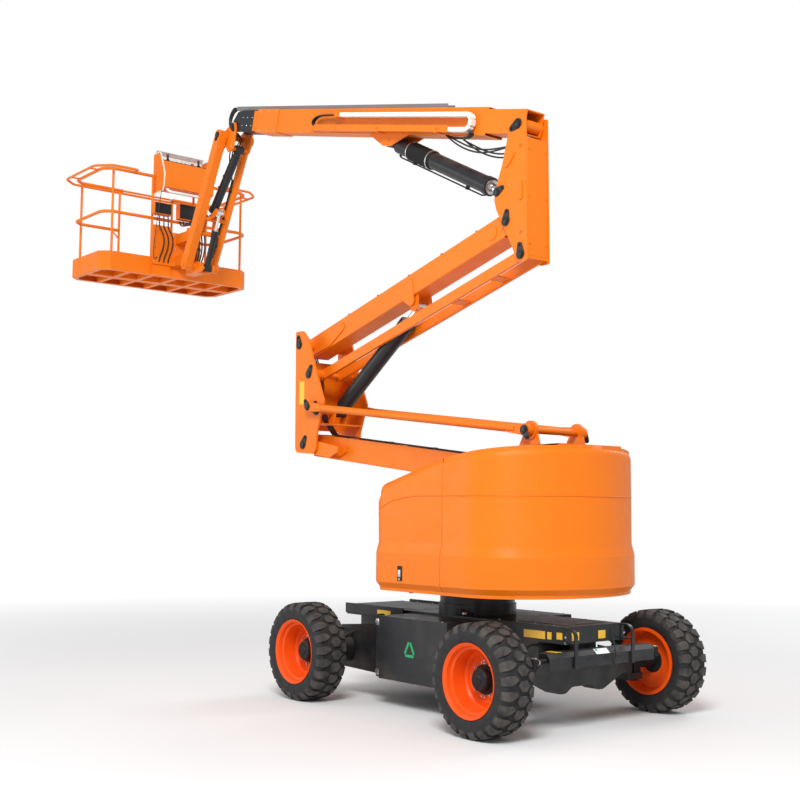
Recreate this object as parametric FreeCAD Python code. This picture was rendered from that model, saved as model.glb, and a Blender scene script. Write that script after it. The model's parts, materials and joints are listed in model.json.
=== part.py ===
import FreeCAD, Part
import math
import os

V = FreeCAD.Vector

# Driving dimensions, in millimetres and degrees.
# X runs from the drive axle to the steer axle, Y across the machine, Z up from the ground.
# Every X below is counted from the slewing axis; the model is moved to its own centre at the end.

# Chassis and wheels
WHEELBASE = 2240.0
TRACK = 1985.0
TYRE_R = 419.0
TYRE_W = 305.0
LUG_COUNT = 24
LUG_SHARE = 0.56
LUG_SLOPE = 0.05
LUG_FOOT_R = 400.0
SHOULDER = 26.0
SHOULDER_DROP = 14.0
TYRE_GAP = 0.3
RIM_R = 272.0
RIM_W = 296.0
BARREL_R = 250.0
RIM_DISC = 16.0
DISC_IN = 46.0
HUB_SEAT_R = 60.0
HUB_CASE_R = 105.0
HUB_CAP_R = 76.0
HUB_STEP = 40.0
HUB_OUT = 78.0
HUB_BLIND = 14.0
HUB_BORE = 36.0
KINGPIN_Y = 690.0
DECK_Z = 775.0
DECK_HALF = 330.0
DECK_X0 = -1430.0
DECK_X1 = 1320.0
FRAME_Z0 = 360.0
FRAME_HALF = 545.0
SIDE_BOX_X0 = -450.0
SIDE_BOX_X1 = 420.0
SIDE_BOX_HALF = 720.0
SIDE_BOX_Z0 = 235.0
SIDE_BOX_Z1 = 757.0
SHEET = 6.0
HOOP_OUT = 115.0
HOOP_DROP = 300.0
STEER_ARM = 230.0

# Turntable
RING_R = 333.0
RING_Z1 = 985.0
BASE_PLATE_T = 25.0
HOOD_HALF = 870.0
HOOD_TAIL_X = 1400.0
HOOD_TAIL_R = 1090.0
HOOD_CORNER_R = 550.0
HOOD_FRONT_X = -430.0
HOOD_FRONT_R = 190.0
HOOD_Z0 = 1010.0
HOOD_SILL_IN = 34.0
HOOD_SILL_H = 45.0
HOOD_LEDGE_Z = 1295.0
HOOD_LEDGE_H = 90.0
HOOD_LEDGE_OUT = 22.0
HOOD_T = 14.0
HOOD_SEAM_X = 505.0
HOOD_NOSE_Z = 1854.0
HOOD_NOSE_X = -345.0
HOOD_NOSE_R = 200.0
HOOD_FRONT_Z = 1500.0
HOOD_BEND_X = 537.0
HOOD_BEND_Z = 2089.0
HOOD_BACK_X = 1410.0
HOOD_BACK_Z = 2180.0
HOOD_ROOF_R = 3000.0
COUNTERWEIGHT_Z1 = 1700.0
CHANNEL_HALF = 355.0
TOWER_HALF = 275.0
TOWER_PLATE = 20.0
DISC_R = 75.0
TOWER_FOOT = 330.0
CHANNEL_END = 300.0

# Riser: pins of the two parallelograms, from the slewing axis
LOWER_PIN_X = 745.0
LOWER_PIN_Z = 1923.0
ROD_DX = 166.0
ROD_DZ = 367.0
LOWER_LEN = 3038.0
LOWER_ANGLE = 7.0
KNUCKLE_DX = -88.0
KNUCKLE_DZ = 1014.0
LINK_DX = 174.0
LINK_DZ = -310.0
UPPER_LEN = 2954.0
UPPER_ANGLE = 15.25
LOWER_ARM_HALF = 130.0
LOWER_ARM_H = 220.0
UPPER_ARM_HALF = 105.0
UPPER_ARM_H = 200.0
K1_HALF = 275.0
K1_PLATE = 20.0
K2_HALF = 135.0
K2_PLATE = 12.0
ROD_Y = 315.0
ROD_R = 34.0
LINK_Y = 102.0
LINK_W = 32.0
LINK_H = 92.0
PIN_R = 28.0
HUB_R = 52.0

# Main boom, seen from its pin on the upper knuckle
BOOM_PIN_DX = 147.0
BOOM_PIN_DZ = 808.0
BOOM_ANGLE = 14.3
BOOM_HALF = 105.0
BOOM_N0 = -100.0
BOOM_N1 = 148.0
BOOM_WALL = 6.0
BOOM_FRONT_S = 4280.0
BOOM_TUBE_S = 430.0
FLY_CLEAR = 6.0
FLY_HEAD_S = 4395.0
FLY_STROKE = 1800.0
TIP_PIN_S = 4800.0
TIP_PIN_N = -40.0
LIFT_EYE_S = 1832.0
LIFT_EYE_N = -167.0
LIFT_BASE_DX = -107.0
LIFT_BASE_DZ = 271.0

# Places of the three riser cylinders' pins
RISER_BASE_DX = 225.0
RISER_BASE_DZ = 326.0
RISER_EYE_S = 1580.0
RISER_EYE_N = -200.0
TOWER_BASE_X = 350.0
TOWER_BASE_Z = 1150.0
TOWER_EYE_S = 1450.0
TOWER_EYE_N = -205.0

# Cylinders: barrel radius, rod radius and length between pins when closed; eyes beyond their pins
BARREL_EYE = 24.0
ROD_EYE = 12.0
TOWER_RAM = (70.0, 36.0, 1120.0)
RISER_RAM = (75.0, 36.0, 1400.0)
BOOM_RAM = (78.0, 38.0, 1600.0)
JIB_RAM = (50.0, 26.0, 905.0)
LEVEL_RAM = (36.0, 18.0, 520.0)

# Jib and platform
JIB_PIN_DX = -142.5
JIB_PIN_DZ = -89.1
JIB_LEN = 1584.0
JIB_ANGLE = 62.1
JIB_Y = 180.0
JIB_W = 95.0
JIB_H = 120.0
JIB_CYL_BASE_DX = 100.0
JIB_CYL_BASE_DZ = -160.0
JIB_CYL_EYE_S = 1000.0
JIB_CYL_EYE_N = 60.0
LEVEL_TOP_S = 870.0
LEVEL_TOP_N = -115.0
LEVEL_TUBE_S = 990.0
LEVEL_TUBE_N = -21.0
JIB_TUBE_S = 1180.0
JIB_TUBE_N = 10.0
LEVEL_EYE_DX = 165.0
LEVEL_EYE_DZ = -50.0
ROTATOR_DX = -175.0
ROTATOR_R = 85.0
PLATFORM_GAP = 360.0
PLATFORM_L = 2040.0
PLATFORM_W = 935.0
PLATFORM_DROP = 70.0
KICK_H = 225.0
KICK_T = 5.0
FLOOR_T = 30.0
RAIL_H = 1235.0
MID_RAIL_H = 710.0
RAIL_R = 19.0
POST_R = 15.0
CORNER_CUT = 110.0
GUARD_OUT = 100.0
GUARD_START = 620.0
GATE_HALF = 375.0
GATE_PIN = 42.0
GATE_BAR_R = 13.0
GATE_PIN_R = 8.0
FLOOR_TOP = 64.0
MOUNT_Y0 = -385.0
MOUNT_Y1 = 200.0

# How far a rail's run reaches past its corner before the mitre, as a share of its radius
MITRE_REACH = 1.6

# Running gaps
PIN_GAP = 0.1
SIDE_GAP = 5.0

# Places that follow from the driving dimensions
DRIVE_X = -WHEELBASE / 2
STEER_X = WHEELBASE / 2
WHEEL_Y = TRACK / 2


def polar(angle, length):
    """X and Z of a length laid off at an angle above +X."""
    a = math.radians(angle)
    return length * math.cos(a), length * math.sin(a)


def add(p, q):
    return (p[0] + q[0], p[1] + q[1])


LOWER_PIN = (LOWER_PIN_X, LOWER_PIN_Z)
ROD_PIN = add(LOWER_PIN, (ROD_DX, ROD_DZ))
K1_LOW = add(LOWER_PIN, polar(180 - LOWER_ANGLE, LOWER_LEN))
K1_ROD = add(K1_LOW, (ROD_DX, ROD_DZ))
K1_ARM = add(K1_LOW, (KNUCKLE_DX, KNUCKLE_DZ))
K1_LINK = add(K1_ARM, (LINK_DX, LINK_DZ))
K2_ARM = add(K1_ARM, polar(UPPER_ANGLE, UPPER_LEN))
K2_LINK = add(K2_ARM, (LINK_DX, LINK_DZ))
BOOM_PIN = add(K2_ARM, (BOOM_PIN_DX, BOOM_PIN_DZ))
LIFT_BASE = add(K2_ARM, (LIFT_BASE_DX, LIFT_BASE_DZ))
BOOM_DIR = 180 - BOOM_ANGLE
JIB_DIR = 180 + JIB_ANGLE


def along(pin, direction, s, n):
    """A point s along a member and n to its upper side; the side follows the direction's lean."""
    side = direction - 90 if direction > 90 else direction + 90
    return add(pin, add(polar(direction, s), polar(side, n)))


def on_boom(s, n):
    return along(BOOM_PIN, BOOM_DIR, s, n)


LIFT_EYE = on_boom(LIFT_EYE_S, LIFT_EYE_N)
TIP_PIN = on_boom(TIP_PIN_S, TIP_PIN_N)
JIB_PIN = add(TIP_PIN, (JIB_PIN_DX, JIB_PIN_DZ))
JIB_END = add(JIB_PIN, polar(JIB_DIR, JIB_LEN))
JIB_CYL_BASE = add(JIB_PIN, (JIB_CYL_BASE_DX, JIB_CYL_BASE_DZ))
JIB_CYL_EYE = along(JIB_PIN, JIB_DIR, JIB_CYL_EYE_S, JIB_CYL_EYE_N)
LEVEL_TOP = along(JIB_PIN, JIB_DIR, LEVEL_TOP_S, LEVEL_TOP_N)
LEVEL_EYE = add(JIB_END, (LEVEL_EYE_DX, LEVEL_EYE_DZ))
ROTATOR_X = JIB_END[0] + ROTATOR_DX
PLATFORM_X1 = ROTATOR_X - PLATFORM_GAP
PLATFORM_X0 = PLATFORM_X1 - PLATFORM_W
PLATFORM_Z0 = JIB_END[1] - PLATFORM_DROP
RAIL_Z = PLATFORM_Z0 + RAIL_H
MID_RAIL_Z = PLATFORM_Z0 + MID_RAIL_H
RISER_BASE = add(K1_LOW, (RISER_BASE_DX, RISER_BASE_DZ))
RISER_EYE = along(K1_ARM, UPPER_ANGLE, RISER_EYE_S, RISER_EYE_N)
TOWER_BASE = (TOWER_BASE_X, TOWER_BASE_Z)
LOWER_DIR = 180 - LOWER_ANGLE
TOWER_EYE = along(LOWER_PIN, LOWER_DIR, TOWER_EYE_S, TOWER_EYE_N)

# The model's own centre lies halfway between the platform guard and the steer tyre.
MODEL_X0 = PLATFORM_X0 - GUARD_OUT - POST_R
MODEL_X1 = STEER_X + TYRE_R
CENTRE_X = (MODEL_X0 + MODEL_X1) / 2

# Shapes


def box(x0, x1, y0, y1, z0, z1):
    return Part.makeBox(x1 - x0, y1 - y0, z1 - z0, V(x0, y0, z0))


def rod_y(p, r, y0, y1):
    return Part.makeCylinder(r, y1 - y0, V(p[0], y0, p[1]), V(0, 1, 0))


def rod_z(x, y, r, z0, z1):
    return Part.makeCylinder(r, z1 - z0, V(x, y, z0), V(0, 0, 1))


def rod_between(p, q, r, y=0.0):
    a = V(p[0], y, p[1])
    b = V(q[0], y, q[1])
    return Part.makeCylinder(r, (b - a).Length, a, b - a)


def fuse(shapes):
    body = shapes[0]
    if len(shapes) > 1:
        body = body.fuse(shapes[1:])
    return body.removeSplitter()


def group(shapes):
    """Pieces of one node that stay separate solids."""
    return Part.makeCompound(shapes)


def both_sides(make):
    """The same piece on the near side (-1) and the far side (+1)."""
    return [make(-1), make(1)]


def span(side, inner, outer):
    """Y range of a plate that lies between two distances from the middle plane."""
    return (-outer, -inner) if side < 0 else (inner, outer)


def corner_edges(points, closed):
    """Lines through the points, with each corner rounded to the point's own radius."""
    count = len(points)
    starts, ends, arcs = [], [], []
    for i, (p, r) in enumerate(points):
        if r == 0 or (not closed and i in (0, count - 1)):
            starts.append(p)
            ends.append(p)
            arcs.append(None)
            continue
        a = (points[i - 1][0] - p).normalize()
        b = (points[(i + 1) % count][0] - p).normalize()
        half = a.getAngle(b) / 2
        reach = r / math.tan(half)
        middle = (a + b).normalize()
        centre = p + middle * (r / math.sin(half))
        starts.append(p + a * reach)
        ends.append(p + b * reach)
        arcs.append(centre - middle * r)
    edges = []
    for i in range(count):
        if arcs[i] is not None:
            edges.append(Part.Arc(starts[i], arcs[i], ends[i]).toShape())
        if i < count - 1 or closed:
            nxt = starts[(i + 1) % count]
            if (nxt - ends[i]).Length > 1e-6:
                edges.append(Part.LineSegment(ends[i], nxt).toShape())
    return edges


def plate_y(points, y0, y1):
    """Prism along Y of an XZ outline of (x, z) or (x, z, corner radius) points."""
    rows = [(V(p[0], y0, p[1]), p[2] if len(p) > 2 else 0) for p in points]
    face = Part.Face(Part.Wire(corner_edges(rows, True)))
    return face.extrude(V(0, y1 - y0, 0))


def plate_z(points, z0, z1):
    """Prism along Z of an XY outline of (x, y) or (x, y, corner radius) points."""
    rows = [(V(p[0], p[1], z0), p[2] if len(p) > 2 else 0) for p in points]
    face = Part.Face(Part.Wire(corner_edges(rows, True)))
    return face.extrude(V(0, 0, z1 - z0))


def plate_x(points, x0, x1):
    """Prism along X of a YZ outline of (y, z) or (y, z, corner radius) points."""
    rows = [(V(x0, p[0], p[1]), p[2] if len(p) > 2 else 0) for p in points]
    face = Part.Face(Part.Wire(corner_edges(rows, True)))
    return face.extrude(V(x1 - x0, 0, 0))


def strap(p, rp, q, rq, y0, y1):
    """Flat link round two bosses, with sides tangent to both."""
    dx, dz = q[0] - p[0], q[1] - p[1]
    length = math.hypot(dx, dz)
    lean = math.atan2(dz, dx)
    open_angle = math.acos((rp - rq) / length)

    def at(c, r, a):
        return V(c[0] + r * math.cos(a), y0, c[1] + r * math.sin(a))

    up, down = lean + open_angle, lean - open_angle
    edges = [
        Part.LineSegment(at(p, rp, up), at(q, rq, up)).toShape(),
        Part.Arc(at(q, rq, up), at(q, rq, lean), at(q, rq, down)).toShape(),
        Part.LineSegment(at(q, rq, down), at(p, rp, down)).toShape(),
        Part.Arc(at(p, rp, down), at(p, rp, lean + math.pi), at(p, rp, up)).toShape(),
    ]
    return Part.Face(Part.Wire(edges)).extrude(V(0, y1 - y0, 0))


def beam(pin, direction, s0, s1, n0, n1, y0, y1):
    """Straight box of a member: s along it from its pin, n to its upper side."""
    corners = [along(pin, direction, s, n) for s, n in ((s0, n0), (s1, n0), (s1, n1), (s0, n1))]
    return plate_y(corners, y0, y1)


def tube_beam(pin, direction, s0, s1, n0, n1, half, wall):
    """Rectangular tube, open at both ends."""
    outer = beam(pin, direction, s0, s1, n0, n1, -half, half)
    inner = beam(pin, direction, s0 - 10, s1 + 10, n0 + wall, n1 - wall, -half + wall, half - wall)
    return outer.cut(inner)


def bar(p, q, r):
    """Straight round rail between two points."""
    start, stop = V(*p), V(*q)
    return Part.makeCylinder(r, (stop - start).Length, start, stop - start)


def pipe(points, r):
    """Rail in straight runs, mitred where they meet."""
    rows = [V(*p) for p in points]
    reach = MITRE_REACH * r
    parts = []
    for i in range(len(rows) - 1):
        p, q = rows[i], rows[i + 1]
        heading = (q - p).normalize()
        start = p - heading * reach if i > 0 else p
        stop = q + heading * reach if i < len(rows) - 2 else q
        run = bar(start, stop, r)
        for corner, other, away in ((p, i - 1, -1), (q, i + 2, 1)):
            if other < 0 or other >= len(rows):
                continue
            far_way = (rows[other] - corner).normalize()
            near_way = (q - p).normalize() * (1 if away < 0 else -1)
            normal = (far_way - near_way).normalize()
            face = Part.Face(Part.Wire([Part.Circle(corner, normal, 6 * r).toShape()]))
            run = run.cut(face.extrude(normal * (8 * r)))
        parts.append(run)
    return fuse(parts)


def turned_y(profile, x, y, z):
    """Ring about a Y axis; the profile's points are (distance along Y, radius)."""
    rows = [(V(x, y + a, z + r), 0) for a, r in profile]
    face = Part.Face(Part.Wire(corner_edges(rows, True)))
    return face.revolve(V(x, y, z), V(0, 1, 0), 360)


# Wheels and axles

def lug_ring(x, y0, y1, top_r, foot_r, turn):
    """Ring of tread lugs with flat tops, turned on by a share of their pitch."""
    pitch = 2 * math.pi / LUG_COUNT
    top = pitch * LUG_SHARE / 2
    foot = top + pitch * LUG_SLOPE
    points = []
    for i in range(LUG_COUNT):
        for angle, r in ((-foot, foot_r), (-top, top_r), (top, top_r), (foot, foot_r)):
            a = (i + turn) * pitch + angle
            points.append((x + r * math.cos(a), TYRE_R + r * math.sin(a)))
    return plate_y(points, y0, y1)


def tyre(x, side):
    """Tyre built from four staggered rings of lugs, the outer two lower and narrower."""
    y = side * WHEEL_Y
    w = TYRE_W / 2
    tread = w - SHOULDER
    # from, to, top radius, foot radius, turn
    rings = ((-w, -tread, TYRE_R - SHOULDER_DROP, LUG_FOOT_R - SHOULDER_DROP, 0.5),
             (-tread, 0, TYRE_R, LUG_FOOT_R, 0.0),
             (0, tread, TYRE_R, LUG_FOOT_R, 0.5),
             (tread, w, TYRE_R - SHOULDER_DROP, LUG_FOOT_R - SHOULDER_DROP, 0.0))
    body = fuse([lug_ring(x, y + a, y + b, top_r, foot_r, turn) for a, b, top_r, foot_r, turn in rings])
    return body.cut(Part.makeCylinder(RIM_R + TYRE_GAP, 2 * TYRE_W, V(x, y - TYRE_W, TYRE_R), V(0, 1, 0)))


def rim(x, side):
    """Deep one-piece dish: barrel and a disc near the inner edge."""
    w = RIM_W / 2
    o = side
    rows = [(o * w, RIM_R), (-o * w, RIM_R), (-o * w, BARREL_R), (-o * (DISC_IN + RIM_DISC), BARREL_R),
            (-o * (DISC_IN + RIM_DISC), HUB_SEAT_R), (-o * DISC_IN, HUB_SEAT_R), (-o * DISC_IN, BARREL_R),
            (o * w, BARREL_R)]
    return turned_y(rows, x, side * WHEEL_Y, TYRE_R)


def hub(x, side):
    """Planetary hub with its cap, standing in the rim's dish."""
    o = side
    foot = -o * (DISC_IN - 0.1)
    rows = [(foot, HUB_CASE_R), (o * HUB_STEP, HUB_CASE_R), (o * HUB_STEP, HUB_CAP_R), (o * HUB_OUT, HUB_CAP_R),
            (o * HUB_OUT, 0), (o * HUB_BLIND, 0), (o * HUB_BLIND, HUB_BORE), (foot, HUB_BORE)]
    return turned_y(rows, x, side * WHEEL_Y, TYRE_R)


def spindle(x, y_from, y_to, r):
    return Part.makeCylinder(r, abs(y_to - y_from), V(x, min(y_from, y_to), TYRE_R), V(0, 1, 0))


def knuckle(side):
    """Kingpin block with its spindle and the arm that the steering rod turns."""
    y = side * KINGPIN_Y
    tip = side * (WHEEL_Y + 13.9)
    block = box(STEER_X - 48, STEER_X + 48, y - 42, y + 42, TYRE_R - 75, TYRE_R + 75)
    pin = rod_z(STEER_X, y, 26, TYRE_R - 132, TYRE_R + 132)
    axle = spindle(STEER_X, y, side * (WHEEL_Y - 70), 48).fuse(spindle(STEER_X, y, tip, HUB_BORE - PIN_GAP))
    arm = plate_z([(STEER_X, y - 34, 0), (STEER_X + STEER_ARM, y - 30, 28), (STEER_X + STEER_ARM + 34, y - 30, 28),
                   (STEER_X + STEER_ARM + 34, y + 30, 28), (STEER_X, y + 34, 0)], TYRE_R + 78, TYRE_R + 98)
    riser = box(STEER_X - 48, STEER_X + 48, y - 42, y + 42, TYRE_R + 74, TYRE_R + 98)
    return fuse([block, pin, axle, arm, riser])


def steer_axle():
    """Box beam with forked ends that hold the kingpins, arched underneath."""
    half = KINGPIN_Y - 90
    beam_box = plate_x([(-half, TYRE_R - 60), (-half + 120, TYRE_R - 60), (-250, TYRE_R - 165, 60),
                        (-180, TYRE_R - 165, 60), (-110, TYRE_R - 120, 60), (110, TYRE_R - 120, 60),
                        (180, TYRE_R - 165, 60), (250, TYRE_R - 165, 60), (half - 120, TYRE_R - 60),
                        (half, TYRE_R - 60), (half, TYRE_R + 60), (half - 160, TYRE_R + 90),
                        (-half + 160, TYRE_R + 90)], STEER_X - 70, STEER_X + 70)
    parts = [beam_box]
    for side in (-1, 1):
        y = side * KINGPIN_Y
        y0, y1 = sorted((side * (half - 40), y + side * 55))
        for z0, z1 in ((TYRE_R - 128, TYRE_R - 75), (TYRE_R + 103, TYRE_R + 128)):
            lug = box(STEER_X - 55, STEER_X + 55, y0, y1, z0, z1)
            parts.append(lug)
        w0, w1 = sorted((side * (half - 40), side * (half + 12)))
        parts.append(box(STEER_X - 55, STEER_X + 55, w0, w1, TYRE_R - 128, TYRE_R + 128))
    body = fuse(parts)
    for side in (-1, 1):
        body = body.cut(rod_z(STEER_X, side * KINGPIN_Y, 26 + PIN_GAP, 0, 1000))
    return body


def steer_cylinder():
    """Double-ended cylinder clamped in front of the axle beam, under its folded cover."""
    z = TYRE_R + 122
    x = STEER_X + STEER_ARM
    barrel = Part.makeCylinder(38, 560, V(x, -280, z), V(0, 1, 0))
    bore = Part.makeCylinder(20 + PIN_GAP, 600, V(x, -300, z), V(0, 1, 0))
    clamps = [box(STEER_X + 70, x, y - 20, y + 20, z - 30, z + 30) for y in (-200, 200)]
    cover = plate_y([(x - 58, z + 60), (x + 34, z + 60), (x + 66, z + 26), (x + 66, z - 60), (x + 60, z - 60),
                     (x + 60, z + 24), (x + 32, z + 54), (x - 58, z + 54)], -595, 595)
    feet = [plate_y([(x - 50, z + 54), (x - 20, z + 54), (x - 20, z + 30), (x - 50, z + 30)], y - 10, y + 10)
            for y in (-200, 200)]
    body = fuse([barrel] + clamps + feet)
    return fuse([body.cut(bore), cover])


def steer_rod():
    """Rod through the steering cylinder; each end lies over its knuckle's arm."""
    z = TYRE_R + 122
    x = STEER_X + STEER_ARM
    end = KINGPIN_Y - 10
    parts = [Part.makeCylinder(20, 2 * end, V(x, -end, z), V(0, 1, 0))]
    for side in (-1, 1):
        parts.append(rod_z(x, side * KINGPIN_Y, 26, TYRE_R + 98, z + 24))
    return fuse(parts)


def drive_axle():
    """Drive beam with a hub motor housing and spindle at each end."""
    parts = [box(DRIVE_X - 85, DRIVE_X + 85, -560, 560, TYRE_R - 85, TYRE_R + 85)]
    for side in (-1, 1):
        y0, y1 = sorted((side * 560, side * 760))
        parts.append(Part.makeCylinder(120, y1 - y0, V(DRIVE_X, y0, TYRE_R), V(0, 1, 0)))
        parts.append(spindle(DRIVE_X, side * 700, side * (WHEEL_Y - 70), 70))
        parts.append(spindle(DRIVE_X, side * 700, side * (WHEEL_Y + 13.9), HUB_BORE - PIN_GAP))
    return fuse(parts)


# Chassis

def chassis_frame():
    """Welded frame: deep centre channel under the deck and lower side rails to the drive axle."""
    wall = 12.0
    outer = plate_y([(DECK_X0, DECK_Z - 90), (DECK_X0, DECK_Z), (DECK_X1, DECK_Z), (DECK_X1, DECK_Z - 130),
                     (STEER_X - 75, DECK_Z - 130), (STEER_X - 75, FRAME_Z0), (DRIVE_X + 90, FRAME_Z0),
                     (DRIVE_X + 90, DECK_Z - 200), (DRIVE_X - 90, DECK_Z - 200), (DRIVE_X - 90, DECK_Z - 90)],
                    -DECK_HALF, DECK_HALF)
    hollow = box(DRIVE_X + 90 + wall, STEER_X - 75 - wall, -DECK_HALF + wall, DECK_HALF - wall,
                 FRAME_Z0 - 5, DECK_Z - wall)
    parts = [outer.cut(hollow)]
    for x in (-380.0, 380.0):
        parts.append(box(x - wall / 2, x + wall / 2, -DECK_HALF + 1, DECK_HALF - 1, FRAME_Z0, DECK_Z - 1))
    for side in (-1, 1):
        y0, y1 = span(side, FRAME_HALF - wall, FRAME_HALF)
        rail = plate_y([(DRIVE_X - 100, TYRE_R - 170), (SIDE_BOX_X0 - 60, TYRE_R - 190),
                        (SIDE_BOX_X0 - 60, DECK_Z - 100), (DRIVE_X - 100, DECK_Z - 160)], y0, y1)
        slot = box(DRIVE_X - 85.3, DRIVE_X + 85.3, y0 - 1, y1 + 1, TYRE_R - 85.3, TYRE_R + 85.3)
        parts.append(rail.cut(slot))
        c0, c1 = span(side, DECK_HALF - 1, FRAME_HALF)
        parts.append(box(SIDE_BOX_X0 - 72, SIDE_BOX_X0 - 60, c0, c1, TYRE_R - 190, DECK_Z - 100))
    saddle_z = TYRE_R + 85
    parts.append(box(DRIVE_X - 60, DRIVE_X + 60, -DECK_HALF, DECK_HALF, saddle_z, DECK_Z - 199))
    parts.append(box(STEER_X - 60, STEER_X + 60, -120, 120, TYRE_R + 90, DECK_Z - 129))
    return fuse(parts)


def side_box(side):
    """Sheet-metal box beside the frame, between the wheels, with a bracket at its drive end."""
    y0, y1 = span(side, DECK_HALF + 0.5, SIDE_BOX_HALF)
    outer = box(SIDE_BOX_X0, SIDE_BOX_X1, y0, y1, SIDE_BOX_Z0, SIDE_BOX_Z1)
    inner = box(SIDE_BOX_X0 + SHEET, SIDE_BOX_X1 - SHEET, y0 + SHEET, y1 - SHEET, SIDE_BOX_Z0 + SHEET, SIDE_BOX_Z1 - SHEET)
    b0, b1 = span(side, SIDE_BOX_HALF - 60, SIDE_BOX_HALF - 10)
    bracket = box(SIDE_BOX_X0 - 48, SIDE_BOX_X0, b0, b1, SIDE_BOX_Z0 + 10, SIDE_BOX_Z1 + 10)
    notch = box(SIDE_BOX_X0 - 42, SIDE_BOX_X0 - 1, b0 + 6, b1 - 6, SIDE_BOX_Z0, SIDE_BOX_Z1 + 20)
    return outer.cut(inner).fuse(bracket.cut(notch)).removeSplitter()


def hoops():
    """Bent flat bars on the deck's end, which also take the lashing straps."""
    made = []
    for side in (-1, 1):
        y0, y1 = span(side, DECK_HALF - 22, DECK_HALF + 10)
        x = DECK_X1 + 0.3
        out = x + HOOP_OUT
        strip = plate_y([(x, DECK_Z - 14), (x, DECK_Z - 2), (out, DECK_Z - 2, 70), (out, DECK_Z - HOOP_DROP),
                         (out - 12, DECK_Z - HOOP_DROP), (out - 12, DECK_Z - 14, 58)], y0, y1)
        foot = box(x, out - 12, y0, y1, DECK_Z - 120, DECK_Z - 108)
        pad = box(x, x + 10, y0, y1, DECK_Z - 130, DECK_Z - 2)
        made.append(fuse([strip, foot, pad]))
    return made


def deck_bar():
    """Low rail bent over the drive end of the deck."""
    y = DECK_HALF + 60
    made = []
    for side in (-1, 1):
        y0, y1 = span(side, DECK_HALF + 0.3, y)
        rail = box(DECK_X0 + 60, SIDE_BOX_X0 - 90, y - 14 if side > 0 else -y, y if side > 0 else -y + 14,
                   DECK_Z - 70, DECK_Z + 18)
        webs = [box(x, x + 12, y0, y1, DECK_Z - 60, DECK_Z - 10) for x in (DECK_X0 + 80, SIDE_BOX_X0 - 130)]
        made.append(fuse([rail] + webs))
    return made


def slew_base():
    ring = Part.makeCylinder(RING_R, 90, V(0, 0, DECK_Z))
    return ring.cut(Part.makeCylinder(RING_R - 90, 100, V(0, 0, DECK_Z - 5)))


# Turntable

def slew_top():
    z = DECK_Z + 90.3
    ring = Part.makeCylinder(RING_R - 12, RING_Z1 - z, V(0, 0, z))
    return ring.cut(Part.makeCylinder(RING_R - 100, 300, V(0, 0, z - 5)))


def hood_outline(inset, x0):
    """Plan of the hood: straight sides, round corners and an arched tail."""
    half = HOOD_HALF - inset
    tail_x = HOOD_TAIL_X - inset
    tail_r = HOOD_TAIL_R - inset
    corner = HOOD_CORNER_R - inset
    centre_x = tail_x - tail_r
    cy = half - corner
    cx = centre_x + math.sqrt((tail_r - corner) ** 2 - cy ** 2)
    lean = math.atan2(cy, cx - centre_x)
    tangent = (centre_x + tail_r * math.cos(lean), tail_r * math.sin(lean))
    mid = (math.pi / 2 + lean) / 2
    top = (cx + corner * math.cos(mid), cy + corner * math.sin(mid))
    return cx, half, tail_x, tangent, top, x0


def hood_wire(inset, x0, z, front_r):
    cx, half, tail_x, tangent, top, x0 = hood_outline(inset, x0)
    r = front_r
    lines = []
    if r:
        k = r * (1 - math.sqrt(0.5))
        lines.append(Part.LineSegment(V(x0, half - r, z), V(x0, -half + r, z)).toShape())
        lines.append(Part.Arc(V(x0, -half + r, z), V(x0 + k, -half + k, z), V(x0 + r, -half, z)).toShape())
    else:
        lines.append(Part.LineSegment(V(x0, half, z), V(x0, -half, z)).toShape())
    lines.append(Part.LineSegment(V(x0 + r, -half, z), V(cx, -half, z)).toShape())
    lines.append(Part.Arc(V(cx, -half, z), V(top[0], -top[1], z), V(tangent[0], -tangent[1], z)).toShape())
    lines.append(Part.Arc(V(tangent[0], -tangent[1], z), V(tail_x, 0, z), V(tangent[0], tangent[1], z)).toShape())
    lines.append(Part.Arc(V(tangent[0], tangent[1], z), V(top[0], top[1], z), V(cx, half, z)).toShape())
    lines.append(Part.LineSegment(V(cx, half, z), V(x0 + r, half, z)).toShape())
    if r:
        lines.append(Part.Arc(V(x0 + r, half, z), V(x0 + k, half - k, z), V(x0, half - r, z)).toShape())
    return Part.Wire(lines)


def hood_prism(inset, x0, z0, z1, front_r):
    return Part.Face(hood_wire(inset, x0, z0, front_r)).extrude(V(0, 0, z1 - z0))


def roof_cutter(drop):
    """Everything above the hood's roof line, which rises from the nose to the tail."""
    down = drop * 1.05
    back = drop * 0.8
    far = 3000.0
    front = HOOD_FRONT_X + HOOD_LEDGE_OUT + back
    rows = [(-far, HOOD_FRONT_Z - down), (front, HOOD_FRONT_Z - down),
            (HOOD_NOSE_X + back, HOOD_NOSE_Z - down, HOOD_NOSE_R), (HOOD_BEND_X, HOOD_BEND_Z - down, HOOD_ROOF_R),
            (HOOD_BACK_X, HOOD_BACK_Z - down, HOOD_ROOF_R), (far, HOOD_BACK_Z - down), (far, 2 * far),
            (-far, 2 * far)]
    return plate_y(rows, -far, far)


def hood_loft(inset0, z0, inset1, z1):
    """Sloping band of the hood between two heights."""
    wires = [hood_wire(inset, HOOD_FRONT_X + inset, z, HOOD_FRONT_R - inset)
             for inset, z in ((inset0, z0), (inset1, z1))]
    return Part.makeLoft(wires, True, True)


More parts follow.
